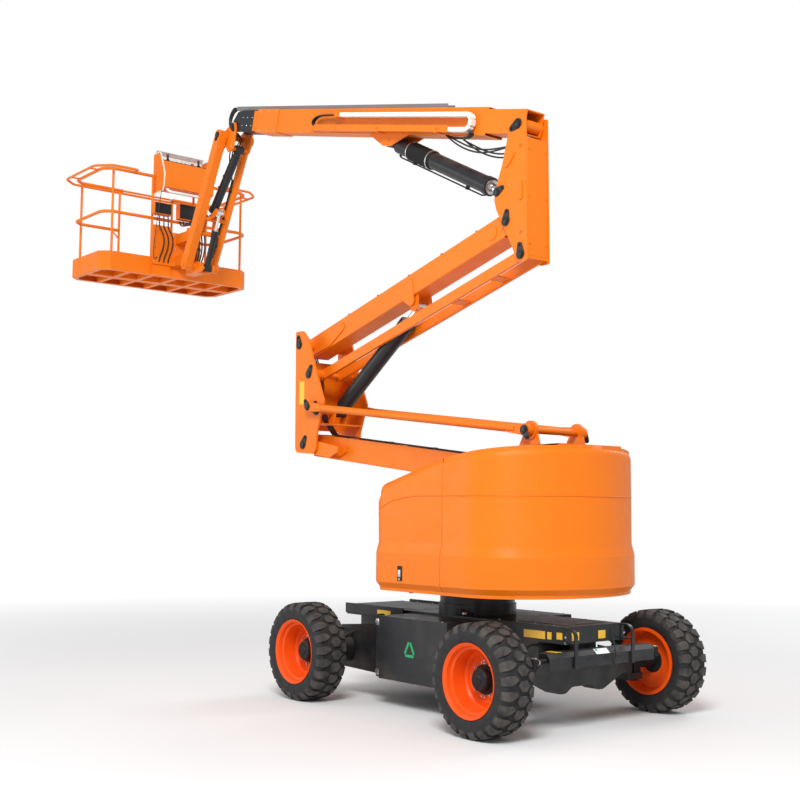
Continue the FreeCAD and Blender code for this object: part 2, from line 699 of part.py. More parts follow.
def hood_solid(shrink):
    """Outer form of the hood, or its inside when shrunk by the panel's thickness."""
    sill_z = HOOD_Z0 + HOOD_SILL_H
    ledge_z = HOOD_LEDGE_Z + HOOD_LEDGE_H
    narrow = HOOD_LEDGE_OUT + shrink
    parts = [hood_loft(HOOD_SILL_IN + shrink, HOOD_Z0, shrink, sill_z),
             hood_prism(shrink, HOOD_FRONT_X + shrink, sill_z, HOOD_LEDGE_Z, HOOD_FRONT_R - shrink),
             hood_loft(shrink, HOOD_LEDGE_Z, narrow, ledge_z),
             hood_prism(narrow, HOOD_FRONT_X + narrow, ledge_z, HOOD_BACK_Z + 100, HOOD_FRONT_R - narrow)]
    if shrink:
        parts.append(hood_prism(HOOD_SILL_IN + shrink, HOOD_FRONT_X + HOOD_SILL_IN + shrink, HOOD_Z0 - 10, HOOD_Z0,
                                HOOD_FRONT_R - HOOD_SILL_IN - shrink))
    return fuse(parts).cut(roof_cutter(shrink))


def hood_shell():
    outer = hood_solid(0)
    inner = hood_solid(HOOD_T)
    slot = box(-2000, LOWER_PIN_X + 560, -CHANNEL_HALF, CHANNEL_HALF, 0, 4000)
    return outer.cut(inner).cut(slot)


def tail_cover(shell):
    """Fixed cover round the tail, from the seam back."""
    return shell.common(box(HOOD_SEAM_X, 3000, -2000, 2000, 0, 4000))


def door(shell, side):
    """Front cover of one side, hinged at the seam."""
    y0, y1 = span(side, CHANNEL_HALF, 2000)
    return shell.common(box(-2000, HOOD_SEAM_X - SIDE_GAP, y0, y1, 0, 4000))


def channel_wall(side):
    """Inner wall that closes one side compartment towards the arms."""
    y0, y1 = span(side, CHANNEL_HALF + 0.5, CHANNEL_HALF + 8)
    sheet = box(HOOD_FRONT_X + 60, LOWER_PIN_X + CHANNEL_END, y0, y1, HOOD_Z0 - 1, HOOD_BACK_Z)
    return sheet.cut(roof_cutter(HOOD_T + 4))


def turntable_frame():
    """Base plate and the two tall side plates whose round tops carry the riser's rods."""
    inset = HOOD_SILL_IN
    plate = hood_prism(inset, HOOD_FRONT_X + inset, RING_Z1, RING_Z1 + BASE_PLATE_T, HOOD_FRONT_R - inset)
    z0 = RING_Z1 + BASE_PLATE_T - 1
    parts = [plate]
    for side in (-1, 1):
        y0, y1 = span(side, TOWER_HALF - TOWER_PLATE, TOWER_HALF)
        web = plate_y([(LOWER_PIN[0] - 420, z0), (LOWER_PIN[0] + TOWER_FOOT, z0), (ROD_PIN[0] + 95, ROD_PIN[1] - 120, 60),
                       (ROD_PIN[0] + 60, ROD_PIN[1], 0), (ROD_PIN[0] - 60, ROD_PIN[1], 0),
                       (LOWER_PIN[0] - 90, LOWER_PIN[1] + 30, 50), (LOWER_PIN[0] - 110, LOWER_PIN[1] - 120, 60)], y0, y1)
        disc = rod_y(ROD_PIN, DISC_R, *span(side, TOWER_HALF - TOWER_PLATE, TOWER_HALF + 10))
        parts += [web, disc]
    for x in (LOWER_PIN[0] + 210,):
        parts.append(box(x, x + 16, -TOWER_HALF + TOWER_PLATE - 1, TOWER_HALF - TOWER_PLATE + 1, z0, LOWER_PIN[1] - 130))
    for side in (-1, 1):
        y0, y1 = span(side, 62, 78)
        parts.append(plate_y([(TOWER_BASE[0] - 110, z0), (TOWER_BASE[0] + 110, z0), (TOWER_BASE[0] + 48, TOWER_BASE[1] + 48, 40),
                              (TOWER_BASE[0] - 48, TOWER_BASE[1] + 48, 40)], y0, y1))
    parts.append(rod_y(TOWER_BASE, PIN_R, -78, 78))
    parts.append(rod_y(LOWER_PIN, PIN_R, -TOWER_HALF - 12, TOWER_HALF + 12))
    parts.append(rod_y(ROD_PIN, PIN_R, -ROD_Y - 42, ROD_Y + 42))
    return fuse(parts)


def counterweight():
    """Cast block that fills the tail, round the foot of the tower plates."""
    inset = HOOD_T + 40
    x0 = LOWER_PIN[0] + 40
    plan = hood_prism(inset, HOOD_FRONT_X + inset, RING_Z1 + BASE_PLATE_T + 0.3, COUNTERWEIGHT_Z1, 0)
    block = plan.common(box(x0, 3000, -2000, 2000, 0, 4000))
    foot = box(0, LOWER_PIN[0] + TOWER_FOOT + 10, -TOWER_HALF - 25, TOWER_HALF + 25, 0, 4000)
    walls = box(0, LOWER_PIN[0] + CHANNEL_END + 10, -CHANNEL_HALF - 10, CHANNEL_HALF + 10, 0, 4000)
    return block.cut(foot).cut(walls)


def engine_block():
    z0 = RING_Z1 + BASE_PLATE_T + 0.3
    return box(-60, 700, CHANNEL_HALF + 60, HOOD_HALF - 140, z0, z0 + 460)


def oil_tank():
    z0 = RING_Z1 + BASE_PLATE_T + 0.3
    return box(-60, 700, -HOOD_HALF + 160, -CHANNEL_HALF - 60, z0, z0 + 420)


# Riser

def rel(origin, rows):
    """Outline given from a pin."""
    return [(origin[0] + r[0], origin[1] + r[1]) + tuple(r[2:]) for r in rows]


def bored(body, *holes):
    """Running bores along Y through the whole body."""
    for p, r in holes:
        body = body.cut(rod_y(p, r + PIN_GAP, -600, 600))
    return body


def lugs(p, r, foot, foot_r, inner, outer):
    """A pair of straps that hold one pin end each side of an eye."""
    return [strap(p, r, foot, foot_r, *span(side, inner, outer)) for side in (-1, 1)]


def pin_ends(p, r, inner, outer):
    """The two ends of a pin in its lugs; the eye between them keeps the rest."""
    return [rod_y(p, r, *span(side, inner, outer)) for side in (-1, 1)]


def ram(base, eye, sizes, half, rod_half, pin_r):
    """Hydraulic cylinder between two pins; the rod's eye keeps the middle of its pin."""
    r, rod_r, closed = sizes
    length = math.hypot(eye[0] - base[0], eye[1] - base[1])
    ux, uz = (eye[0] - base[0]) / length, (eye[1] - base[1]) / length
    knob = pin_r + BARREL_EYE

    def at(s):
        return (base[0] + ux * s, base[1] + uz * s)

    start = knob + 45
    mouth = closed - knob - 18
    barrel = fuse([rod_y(base, knob, -half, half), rod_between(base, at(start + 5), min(knob, half) - 4),
                   rod_between(at(start), at(mouth), r), rod_between(at(mouth - 60), at(mouth), r + 7)])
    barrel = barrel.cut(rod_between(at(start + 20), at(mouth + 5), rod_r + PIN_GAP))
    inner = length - (closed - start - 30)
    rod = fuse([rod_y(eye, pin_r + ROD_EYE, -rod_half, rod_half), rod_between(at(inner), eye, rod_r)])
    return bored(barrel, (base, pin_r)), rod


def lower_arm():
    n0, n1 = -LOWER_ARM_H / 2, LOWER_ARM_H / 2
    end = LOWER_LEN
    tube = tube_beam(LOWER_PIN, LOWER_DIR, 90, end - 90, n0, n1, LOWER_ARM_HALF, BOOM_WALL)
    parts = [tube]
    for s, pin in ((0, LOWER_PIN), (end, K1_LOW)):
        sign = 1 if s == 0 else -1
        parts.append(rod_y(pin, HUB_R + 20, -LOWER_ARM_HALF, LOWER_ARM_HALF))
        parts.append(rod_y(pin, HUB_R, -K1_HALF + K1_PLATE + SIDE_GAP, K1_HALF - K1_PLATE - SIDE_GAP))
        s0, s1 = sorted((s, s + sign * 92))
        parts.append(beam(LOWER_PIN, LOWER_DIR, s0, s1, n0, n1, -LOWER_ARM_HALF, LOWER_ARM_HALF))
    for side in (-1, 1):
        y0, y1 = span(side, LOWER_ARM_HALF - 1, K1_HALF - K1_PLATE - SIDE_GAP)
        cheek = [(end - 560, -20), (end - 560, 30), (end - 20, 60), (end + 30, 45, 30), (end + 45, -30, 40),
                 (end - 20, -70, 40), (end - 420, -95, 60)]
        rows = [along(LOWER_PIN, LOWER_DIR, c[0], c[1]) + tuple(c[2:]) for c in cheek]
        parts.append(plate_y(rows, *span(side, LOWER_ARM_HALF - 1, LOWER_ARM_HALF + 18)))
        parts.append(plate_y(rows, *span(side, K1_HALF - K1_PLATE - SIDE_GAP - 14, K1_HALF - K1_PLATE - SIDE_GAP)))
        web = beam(LOWER_PIN, LOWER_DIR, end - 440, end - 425, -88, 34, y0, y1)
        parts.append(web)
    foot = along(LOWER_PIN, LOWER_DIR, TOWER_EYE_S, n0 + 60)
    parts += lugs(TOWER_EYE, PIN_R + 26, foot, 95, 62, 78)
    parts += pin_ends(TOWER_EYE, PIN_R, 62, 84)
    return bored(fuse(parts), (LOWER_PIN, PIN_R), (K1_LOW, PIN_R))


def tie_rods():
    """Pair of round rods that keep the lower knuckle upright."""
    made = []
    for side in (-1, 1):
        y0, y1 = span(side, ROD_Y - 25, ROD_Y + 25)
        ends = []
        necks = []
        for p, q in ((ROD_PIN, K1_ROD), (K1_ROD, ROD_PIN)):
            ux, uz = (q[0] - p[0]) / LOWER_LEN, (q[1] - p[1]) / LOWER_LEN
            ends.append(rod_y(p, HUB_R, y0, y1))
            ends.append(strap(p, HUB_R - 6, (p[0] + ux * 190, p[1] + uz * 190), 36, y0, y1))
            necks.append((p[0] + ux * 120, p[1] + uz * 120))
        bar = rod_between(necks[0], necks[1], ROD_R, side * ROD_Y)
        made.append(bored(fuse([bar] + ends), (ROD_PIN, PIN_R), (K1_ROD, PIN_R)))
    return group(made)


K1_OUTLINE = [(-154, 1156, 20), (-28, 1152, 60), (80, 1049, 40), (155, 839, 60), (353, 405, 50), (304, 300, 30),
              (240, 135, 80), (210, -103, 60), (-140, -75, 60)]


def lower_knuckle():
    """Two tall plates with webs, joining the lower and upper halves of the riser."""
    parts = []
    for side in (-1, 1):
        y0, y1 = span(side, K1_HALF - K1_PLATE, K1_HALF)
        parts.append(plate_y(rel(K1_LOW, K1_OUTLINE), y0, y1))
        s0, s1 = span(side, K1_HALF - K1_PLATE, ROD_Y + 42)
        parts.append(rod_y(K1_ROD, PIN_R, s0, s1))
    for pin in (K1_LOW, K1_ARM, K1_LINK, RISER_BASE):
        parts.append(rod_y(pin, PIN_R, -K1_HALF - 4, K1_HALF + 4))
    inside = K1_HALF - K1_PLATE + 1
    x, z = K1_LOW
    parts.append(box(x - 146, x - 130, -inside, inside, z + 157, z + 857))
    parts.append(box(x + 150, x + 258, -inside, inside, z + 190, z + 206))
    parts += lugs(RISER_BASE, PIN_R + 26, (x + 205, z + 235), 44, 66, 82)
    return fuse(parts)


def upper_arm():
    n0, n1 = -UPPER_ARM_H / 2 - 10, UPPER_ARM_H / 2 - 10
    end = UPPER_LEN
    tube = tube_beam(K1_ARM, UPPER_ANGLE, 90, end - 80, n0, n1, UPPER_ARM_HALF, BOOM_WALL)
    parts = [tube]
    inside = K1_HALF - K1_PLATE - SIDE_GAP
    k2_inside = K2_HALF - K2_PLATE - SIDE_GAP
    parts.append(rod_y(K1_ARM, HUB_R, -inside, inside))
    parts.append(rod_y(K2_ARM, HUB_R, -k2_inside, k2_inside))
    parts.append(beam(K1_ARM, UPPER_ANGLE, -60, 92, n0, n1, -UPPER_ARM_HALF, UPPER_ARM_HALF))
    parts.append(beam(K1_ARM, UPPER_ANGLE, end - 82, end + 40, n0 + 10, n1, -UPPER_ARM_HALF, UPPER_ARM_HALF))
    for side in (-1, 1):
        rows = [(-50, n0 + 15, 20), (-50, n1 - 5, 20), (520, n1 - 30, 30), (620, 0, 40), (300, n0 + 10, 40)]
        outline = [along(K1_ARM, UPPER_ANGLE, r[0], r[1]) + (r[2],) for r in rows]
        parts.append(plate_y(outline, *span(side, UPPER_ARM_HALF - 1, UPPER_ARM_HALF + 12)))
        disc = along(K1_ARM, UPPER_ANGLE, end - 210, -8)
        parts.append(rod_y(disc, 62, *span(side, UPPER_ARM_HALF - 1, UPPER_ARM_HALF + 8)))
    foot = along(K1_ARM, UPPER_ANGLE, RISER_EYE_S, n0 + 60)
    parts += lugs(RISER_EYE, PIN_R + 26, foot, 100, 66, 82)
    parts += pin_ends(RISER_EYE, PIN_R, 66, 88)
    return bored(fuse(parts), (K1_ARM, PIN_R), (K2_ARM, PIN_R))


def upper_link():
    """Two flat bars under the upper arm, tied by cross plates towards the upper knuckle."""
    parts = []
    for side in (-1, 1):
        y0, y1 = span(side, LINK_Y - LINK_W / 2, LINK_Y + LINK_W / 2)
        parts.append(strap(K1_LINK, LINK_H / 2, K2_LINK, LINK_H / 2 - 0.01, y0, y1))
        parts.append(rod_y(K1_LINK, HUB_R, *span(side, LINK_Y - LINK_W / 2, K1_HALF - K1_PLATE - SIDE_GAP)))
    for s in (1980.0, 2500.0):
        parts.append(beam(K1_LINK, UPPER_ANGLE, s, s + 90, -38, -26, -LINK_Y, LINK_Y))
    return bored(fuse(parts), (K1_LINK, PIN_R), (K2_LINK, PIN_R))


K2_OUTLINE = [(-44, 495, 60), (45, 800, 60), (80, 880, 60), (238, 880, 20), (250, -373, 20), (134, -373, 40),
              (63, -215, 60), (-81, 51, 50), (-118, 119, 30), (-143, 211, 50), (-105, 351, 60)]


def upper_knuckle():
    """Tall box that carries the main boom on top of the riser."""
    parts = []
    for side in (-1, 1):
        y0, y1 = span(side, K2_HALF - K2_PLATE, K2_HALF)
        parts.append(plate_y(rel(K2_ARM, K2_OUTLINE), y0, y1))
    for pin in (K2_ARM, K2_LINK, BOOM_PIN):
        parts.append(rod_y(pin, PIN_R, -K2_HALF - 16, K2_HALF + 16))
    inside = K2_HALF - K2_PLATE + 1
    x, z = K2_ARM
    parts.append(box(x + 228, x + 238, -inside, inside, z - 350, z + 600))
    for side in (-1, 1):
        parts.append(rod_y(LIFT_BASE, PIN_R + 22, *span(side, 62, K2_HALF - K2_PLATE + 1)))
    parts += pin_ends(LIFT_BASE, PIN_R, K2_HALF - 1, K2_HALF + 16)
    return fuse(parts)


# Main boom and its extension

def on_boom_rows(rows):
    return [on_boom(r[0], r[1]) + tuple(r[2:]) for r in rows]


def main_boom():
    half = BOOM_HALF
    k2_inside = K2_HALF - K2_PLATE - SIDE_GAP
    tube = tube_beam(BOOM_PIN, BOOM_DIR, BOOM_TUBE_S, BOOM_FRONT_S, BOOM_N0, BOOM_N1, half, BOOM_WALL)
    parts = [tube]
    parts.append(tube_beam(BOOM_PIN, BOOM_DIR, BOOM_TUBE_S - 480, BOOM_TUBE_S, BOOM_N0 + 20, BOOM_N1 - 20, half, 10))
    collar = tube_beam(BOOM_PIN, BOOM_DIR, BOOM_FRONT_S - 430, BOOM_FRONT_S, BOOM_N0 - 8, BOOM_N1 + 4, half + 8, 12)
    parts.append(collar)
    parts.append(rod_y(BOOM_PIN, HUB_R, -k2_inside, k2_inside))
    inner = half - BOOM_WALL
    pad = BOOM_WALL + FLY_CLEAR - PIN_GAP
    for n0, n1 in ((BOOM_N0 + 1, BOOM_N0 + pad), (BOOM_N1 - pad, BOOM_N1 - 1)):
        parts.append(beam(BOOM_PIN, BOOM_DIR, BOOM_FRONT_S - 120, BOOM_FRONT_S, n0, n1, -inner + 20, inner - 20))
    lug_rows = on_boom_rows([(LIFT_EYE_S - 330, BOOM_N0 + 4), (LIFT_EYE_S - 60, LIFT_EYE_N - 45, 30),
                             (LIFT_EYE_S + 60, LIFT_EYE_N - 45, 30), (LIFT_EYE_S + 330, BOOM_N0 + 4)])
    for side in (-1, 1):
        parts.append(plate_y(lug_rows, *span(side, 84, 98)))
    parts.append(rod_y(LIFT_EYE, PIN_R, -100, 100))
    for s in (BOOM_FRONT_S - 200, BOOM_FRONT_S - 1500):
        parts.append(beam(BOOM_PIN, BOOM_DIR, s, s + 60, BOOM_N1 - 2, BOOM_N1 + 5, -30, 30))
    return bored(fuse(parts), (BOOM_PIN, PIN_R))


def cable_tray():
    """Open tray along the near side of the boom, on short brackets."""
    y0, y1 = -BOOM_HALF - 85, -BOOM_HALF - 10
    parts = [beam(BOOM_PIN, BOOM_DIR, 850, 3000, -90, -86, y0, y1),
             beam(BOOM_PIN, BOOM_DIR, 850, 3000, -90, -30, y0, y0 + 4)]
    for s in (1000.0, 1900.0, 2900.0):
        parts.append(beam(BOOM_PIN, BOOM_DIR, s, s + 40, -90, -40, y1 - 4, -BOOM_HALF))
    return fuse(parts)


def cable_chain():
    """White links lying in the tray and bent up at the rear."""
    y0, y1 = -BOOM_HALF - 78, -BOOM_HALF - 16
    rows = on_boom_rows([(2600, -86), (2600, -42), (640, -42, 44), (640, 50, 44), (2600, 50), (2600, 94),
                         (560, 94, 88), (560, -86, 88)])
    return plate_y(rows, y0, y1)


def fly_boom():
    """Sliding inner tube with its head, whose cheeks hold the tip knuckle's pin."""
    half = BOOM_HALF - BOOM_WALL - FLY_CLEAR
    n0, n1 = BOOM_N0 + BOOM_WALL + FLY_CLEAR, BOOM_N1 - BOOM_WALL - FLY_CLEAR
    tube = tube_beam(BOOM_PIN, BOOM_DIR, 600, FLY_HEAD_S, n0, n1, half, BOOM_WALL)
    return tube


def fly_head():
    half = BOOM_HALF - BOOM_WALL - FLY_CLEAR
    n0, n1 = BOOM_N0 + BOOM_WALL + FLY_CLEAR, BOOM_N1 - BOOM_WALL - FLY_CLEAR
    parts = [tube_beam(BOOM_PIN, BOOM_DIR, FLY_HEAD_S, TIP_PIN_S - 150, n0 - 8, n1 + 8, half + 4, 16)]
    rows = on_boom_rows([(TIP_PIN_S - 200, n0 - 8), (TIP_PIN_S - 200, n1 + 8), (TIP_PIN_S - 40, n1 - 10, 40),
                         (TIP_PIN_S + 60, TIP_PIN_N + 40, 40), (TIP_PIN_S + 60, TIP_PIN_N - 55, 50),
                         (TIP_PIN_S - 60, TIP_PIN_N - 60, 40)])
    for side in (-1, 1):
        parts.append(plate_y(rows, *span(side, 72, 90)))
    parts.append(rod_y(TIP_PIN, PIN_R, -124, 124))
    return fuse(parts)


def fly_channel():
    """Grey channel on top, fixed to the head and running over the boom."""
    n0 = BOOM_N1 + 5
    outer = beam(BOOM_PIN, BOOM_DIR, 1072, TIP_PIN_S + 80, n0, n0 + 45, -45, 45)
    inner = beam(BOOM_PIN, BOOM_DIR, 1060, TIP_PIN_S + 90, n0 + 5, n0 + 50, -40, 40)
    foot = beam(BOOM_PIN, BOOM_DIR, FLY_HEAD_S + 20, FLY_HEAD_S + 200, BOOM_N1 - BOOM_WALL - FLY_CLEAR + 8, n0 + 1,
                -40, 40)
    return fuse([outer.cut(inner), foot])


# Jib

def tip_knuckle():
    """Bracket at the boom's tip that stays level and carries the jib."""
    parts = []
    rows = [(TIP_PIN[0] + 60, TIP_PIN[1] + 60, 50), (TIP_PIN[0] + 75, TIP_PIN[1] - 60, 50),
            (JIB_CYL_BASE[0] + 60, JIB_CYL_BASE[1] - 20, 40), (JIB_CYL_BASE[0] - 40, JIB_CYL_BASE[1] - 50, 40),
            (JIB_PIN[0] - 62, JIB_PIN[1] - 20, 50), (JIB_PIN[0] - 50, JIB_PIN[1] + 55, 50)]
    for side in (-1, 1):
        parts.append(plate_y(rows, *span(side, 100, 120)))
        parts.append(rod_y(JIB_PIN, HUB_R, *span(side, 119, JIB_Y - JIB_W / 2 - SIDE_GAP / 2)))
    parts.append(rod_y(JIB_PIN, PIN_R, -JIB_Y - JIB_W / 2 - 12, JIB_Y + JIB_W / 2 + 12))
    parts.append(rod_y(JIB_CYL_BASE, PIN_R - 6, -124, 124))
    return bored(fuse(parts), (TIP_PIN, PIN_R))


def jib():
    """Two parallel arms on common pins, tied by cross tubes."""
    parts = []
    near = beam(JIB_PIN, JIB_DIR, 0, JIB_LEN, -JIB_H / 2, JIB_H / 2, -JIB_Y - JIB_W / 2, -JIB_Y + JIB_W / 2)
    core = beam(JIB_PIN, JIB_DIR, 80, JIB_LEN - 80, -JIB_H / 2 + 6, JIB_H / 2 - 6,
                -JIB_Y - JIB_W / 2 + 6, -JIB_Y + JIB_W / 2 - 6)
    far = rod_between(JIB_PIN, JIB_END, JIB_W / 2 - 2, JIB_Y)
    parts.append(near.cut(core))
    parts.append(far)
    for pin in (JIB_PIN, JIB_END):
        for side in (-1, 1):
            parts.append(rod_y(pin, JIB_H / 2, *span(side, JIB_Y - JIB_W / 2, JIB_Y + JIB_W / 2)))
    cross = JIB_Y - 10
    jib_tube = along(JIB_PIN, JIB_DIR, JIB_TUBE_S, JIB_TUBE_N)
    level_tube = along(JIB_PIN, JIB_DIR, LEVEL_TUBE_S, LEVEL_TUBE_N)
    parts.append(rod_y(jib_tube, 30, -cross, cross))
    parts.append(rod_y(level_tube, 24, -cross, cross))
    parts += lugs(JIB_CYL_EYE, PIN_R + 16, jib_tube, 30, 56, 68)
    parts += lugs(LEVEL_TOP, PIN_R + 12, level_tube, 24, 44, 53)
    parts += pin_ends(JIB_CYL_EYE, PIN_R - 6, 56, 72)
    parts += pin_ends(LEVEL_TOP, PIN_R - 8, 44, 58)
    return bored(fuse(parts), (JIB_PIN, PIN_R), (JIB_END, PIN_R))


def jib_head():
    """Bracket at the jib's lower end, kept level, with the post that the platform turns on."""
    x, z = JIB_END
    parts = [rod_y(JIB_END, PIN_R, -JIB_Y - JIB_W / 2 - 12, JIB_Y + JIB_W / 2 + 12),
             rod_y(JIB_END, HUB_R, -JIB_Y + JIB_W / 2 + SIDE_GAP, JIB_Y - JIB_W / 2 - SIDE_GAP)]
    rows = [(ROTATOR_X, z + 48), (ROTATOR_X, z - 80), (LEVEL_EYE[0] + 20, z - 95, 30), (LEVEL_EYE[0] + 42, z - 50, 30),
            (LEVEL_EYE[0] + 10, z, 30), (x + 50, z + 48)]
    for side in (-1, 1):
        parts.append(plate_y(rows, *span(side, 62, 84)))
    parts.append(box(ROTATOR_X, x + 20, -84, 84, z - 80, z - 64))
    parts.append(rod_z(ROTATOR_X, 0, ROTATOR_R, z - 80, z + 48))
    parts.append(rod_z(ROTATOR_X, 0, ROTATOR_R - 30, z + 47, z + 500))
    parts.append(rod_y(LEVEL_EYE, PIN_R - 8, -84, 84))
    return fuse(parts)


# Platform

def platform_mount():
    """Sleeve on the post and the bracket that holds the platform."""
    z = JIB_END[1]
    x = PLATFORM_X1
    parts = [rod_z(ROTATOR_X, 0, ROTATOR_R, z + 53, z + 490)]
    for z0 in (z + 70, z + 340):
        parts.append(box(x + 58, ROTATOR_X, -ROTATOR_R + 6, ROTATOR_R - 6, z0, z0 + 120))
    parts.append(box(x, x + 60, -385, 200, z + 60, z + 480))
    parts.append(box(x, x + 40, -385, -130, PLATFORM_Z0, z + 550))
    return fuse(parts).cut(rod_z(ROTATOR_X, 0, ROTATOR_R - 30 + PIN_GAP, z, z + 600))


def platform_ring(inset, z0, z1, wall):
    """Band that follows the platform's plan, with its corners cut."""
    def plan(d):
        x0, x1 = PLATFORM_X0 + d, PLATFORM_X1 - d
        y1 = PLATFORM_L / 2 - d
        c = CORNER_CUT - d * 0.59
        return [(x0, -y1 + c), (x0, y1 - c), (x0 + c, y1), (x1 - c, y1), (x1, y1 - c), (x1, -y1 + c),
                (x1 - c, -y1), (x0 + c, -y1)]
    return plate_z(plan(inset), z0, z1).cut(plate_z(plan(inset + wall), z0 - 1, z1 + 1))


def platform_floor():
    """Floor sheet on channels, with kick plates round it."""
    kick = platform_ring(0, PLATFORM_Z0, PLATFORM_Z0 + KICK_H, KICK_T)
    lip = platform_ring(1, PLATFORM_Z0, PLATFORM_Z0 + 5, 60)
    x0, x1 = PLATFORM_X0 + 2, PLATFORM_X1 - 2
    y1 = PLATFORM_L / 2 - 2
    sheet = plate_z([(x0, -y1 + 109), (x0, y1 - 109), (x0 + 109, y1), (x1 - 109, y1), (x1, y1 - 109),
                     (x1, -y1 + 109), (x1 - 109, -y1), (x0 + 109, -y1)], PLATFORM_Z0 + 60, PLATFORM_Z0 + 64)
    beams = [box(x0 + 2, x1 - 2, y - 30, y + 30, PLATFORM_Z0, PLATFORM_Z0 + 61) for y in (-640, -330, 0, 330, 640)]
    beams.append(box(x0 + 400, x0 + 520, -y1 + 4, y1 - 4, PLATFORM_Z0, PLATFORM_Z0 + 61))
    return fuse([kick, lip, sheet] + beams)


def rail_loop(inset, z, y_gap):
    """Rail round the platform at one height, open on the outer side between two posts."""
    x0, x1 = PLATFORM_X0 + inset, PLATFORM_X1 - inset
    y1 = PLATFORM_L / 2 - inset
    c = CORNER_CUT - inset * 0.59
    return pipe([(x0, -y_gap, z), (x0, -y1 + c, z), (x0 + c, -y1, z), (x1 - c, -y1, z), (x1, -y1 + c, z),
                 (x1, y1 - c, z), (x1 - c, y1, z), (x0 + c, y1, z), (x0, y1 - c, z), (x0, y_gap, z)], RAIL_R)


def platform_rails():
    """Top and middle rail on their posts, with the ears that hold the gate bar's pin."""
    inset = RAIL_R + KICK_T + 0.01
    x0, x1 = PLATFORM_X0 + inset, PLATFORM_X1 - inset
    parts = [rail_loop(inset, RAIL_Z, GATE_HALF), rail_loop(inset, MID_RAIL_Z, GATE_HALF)]
    foot = PLATFORM_Z0 + FLOOR_TOP
    corner = PLATFORM_L / 2 - CORNER_CUT - 20
    spots = [(x0, y) for y in (-corner, -GATE_HALF, GATE_HALF, corner)]
    spots += [(x1, y) for y in (-corner, MOUNT_Y0 + RAIL_R, MOUNT_Y1, corner)]
    for x, y in spots:
        parts.append(bar((x, y, foot), (x, y, RAIL_Z), POST_R))
    for ear in (-1, 1):
        e0, e1 = sorted((x0 + ear * (GATE_BAR_R + 1), x0 + ear * (GATE_BAR_R + 9)))
        parts.append(box(e0, e1, -GATE_HALF - 24, -GATE_HALF + GATE_PIN + 12, RAIL_Z - 14, RAIL_Z + 14))
    pin_end = GATE_BAR_R + 9
    parts.append(Part.makeCylinder(GATE_PIN_R, 2 * pin_end, V(x0 - pin_end, -GATE_HALF + GATE_PIN, RAIL_Z), V(1, 0, 0)))
    return fuse(parts)


def platform_guard():
    """Outer loop at the top rail's height, on short stays."""
    seat = KICK_T
    x0, x1 = PLATFORM_X0 + seat, PLATFORM_X1 - seat
    y1 = PLATFORM_L / 2 - seat
    g0, g1 = PLATFORM_X0 - GUARD_OUT, PLATFORM_X1 + GUARD_OUT
    gy = PLATFORM_L / 2 + GUARD_OUT
    c = CORNER_CUT + 60
    z = RAIL_Z
    parts = [pipe([(x1, -GUARD_START, z), (g1, -GUARD_START, z), (g1, -gy + c, z), (g1 - c, -gy, z),
                   (g0 + c, -gy, z), (g0, -gy + c, z), (g0, gy - c, z), (g0 + c, gy, z), (g1 - c, gy, z),
                   (g1, gy - c, z), (g1, GUARD_START, z), (x1, GUARD_START, z)], POST_R)]
    stay = POST_R - 4
    for side in (-1, 1):
        for x in (x0 + 200, x1 - 200):
            parts.append(bar((x, side * y1, z), (x, side * gy, z), stay))
        y = side * (GATE_HALF + 60)
        parts.append(bar((x0, y, z), (g0, y, z), stay))
    return fuse(parts)


def gate_bar():
    """Bar that swings up to open the platform, on a pin between two ears of its post."""
    x = PLATFORM_X0 + RAIL_R + KICK_T + 0.01
    start = -GATE_HALF + GATE_PIN - 12
    swing = Part.makeCylinder(GATE_BAR_R, GATE_HALF - RAIL_R - SIDE_GAP - start, V(x, start, RAIL_Z), V(0, 1, 0))
    hole = Part.makeCylinder(GATE_PIN_R + PIN_GAP, 80, V(x - 40, -GATE_HALF + GATE_PIN, RAIL_Z), V(1, 0, 0))
    return swing.cut(hole)


def console():
    """Control box on the boom side of the platform, between two D-shaped plates."""
    x0 = PLATFORM_X1 - 5
    desk = [(x0, 5535), (x0 + 250, 5535), (x0 + 250, 5700, 20), (x0 + 120, 5900, 20), (x0, 5900)]
    parts = [plate_y(desk, -330, 330)]
    plate = [(x0 - 61, 5500), (x0 + 200, 5500, 60), (x0 + 230, 5700, 60), (x0 + 110, 6000, 70), (x0 - 61, 6000, 30)]
    for side in (-1, 1):
        parts.append(plate_y(plate, *span(side, 329, 341)))
    rail = (PLATFORM_X1 - RAIL_R - KICK_T - 0.01, RAIL_Z)
    return fuse(parts).cut(rod_y(rail, RAIL_R, -400, 400))


def visor():
    """White curved cover on the console."""
    x0 = PLATFORM_X1 - 66
    rows = [(x0, 5880), (x0 + 4, 5880), (x0 + 4, 6000), (x0 + 60, 6040), (x0 + 60, 6046), (x0, 6010, 40)]
    return plate_y(rows, -329, 329)


def small_boxes():
    """Valve box and socket box hung on the rails."""
    x0 = PLATFORM_X1 - RAIL_R - KICK_T + POST_R
    return [box(x0, x0 + 95, -390, -155, 5230, 5375), box(x0, x0 + 90, -50, 210, 5212, 5408)]


# Nodes

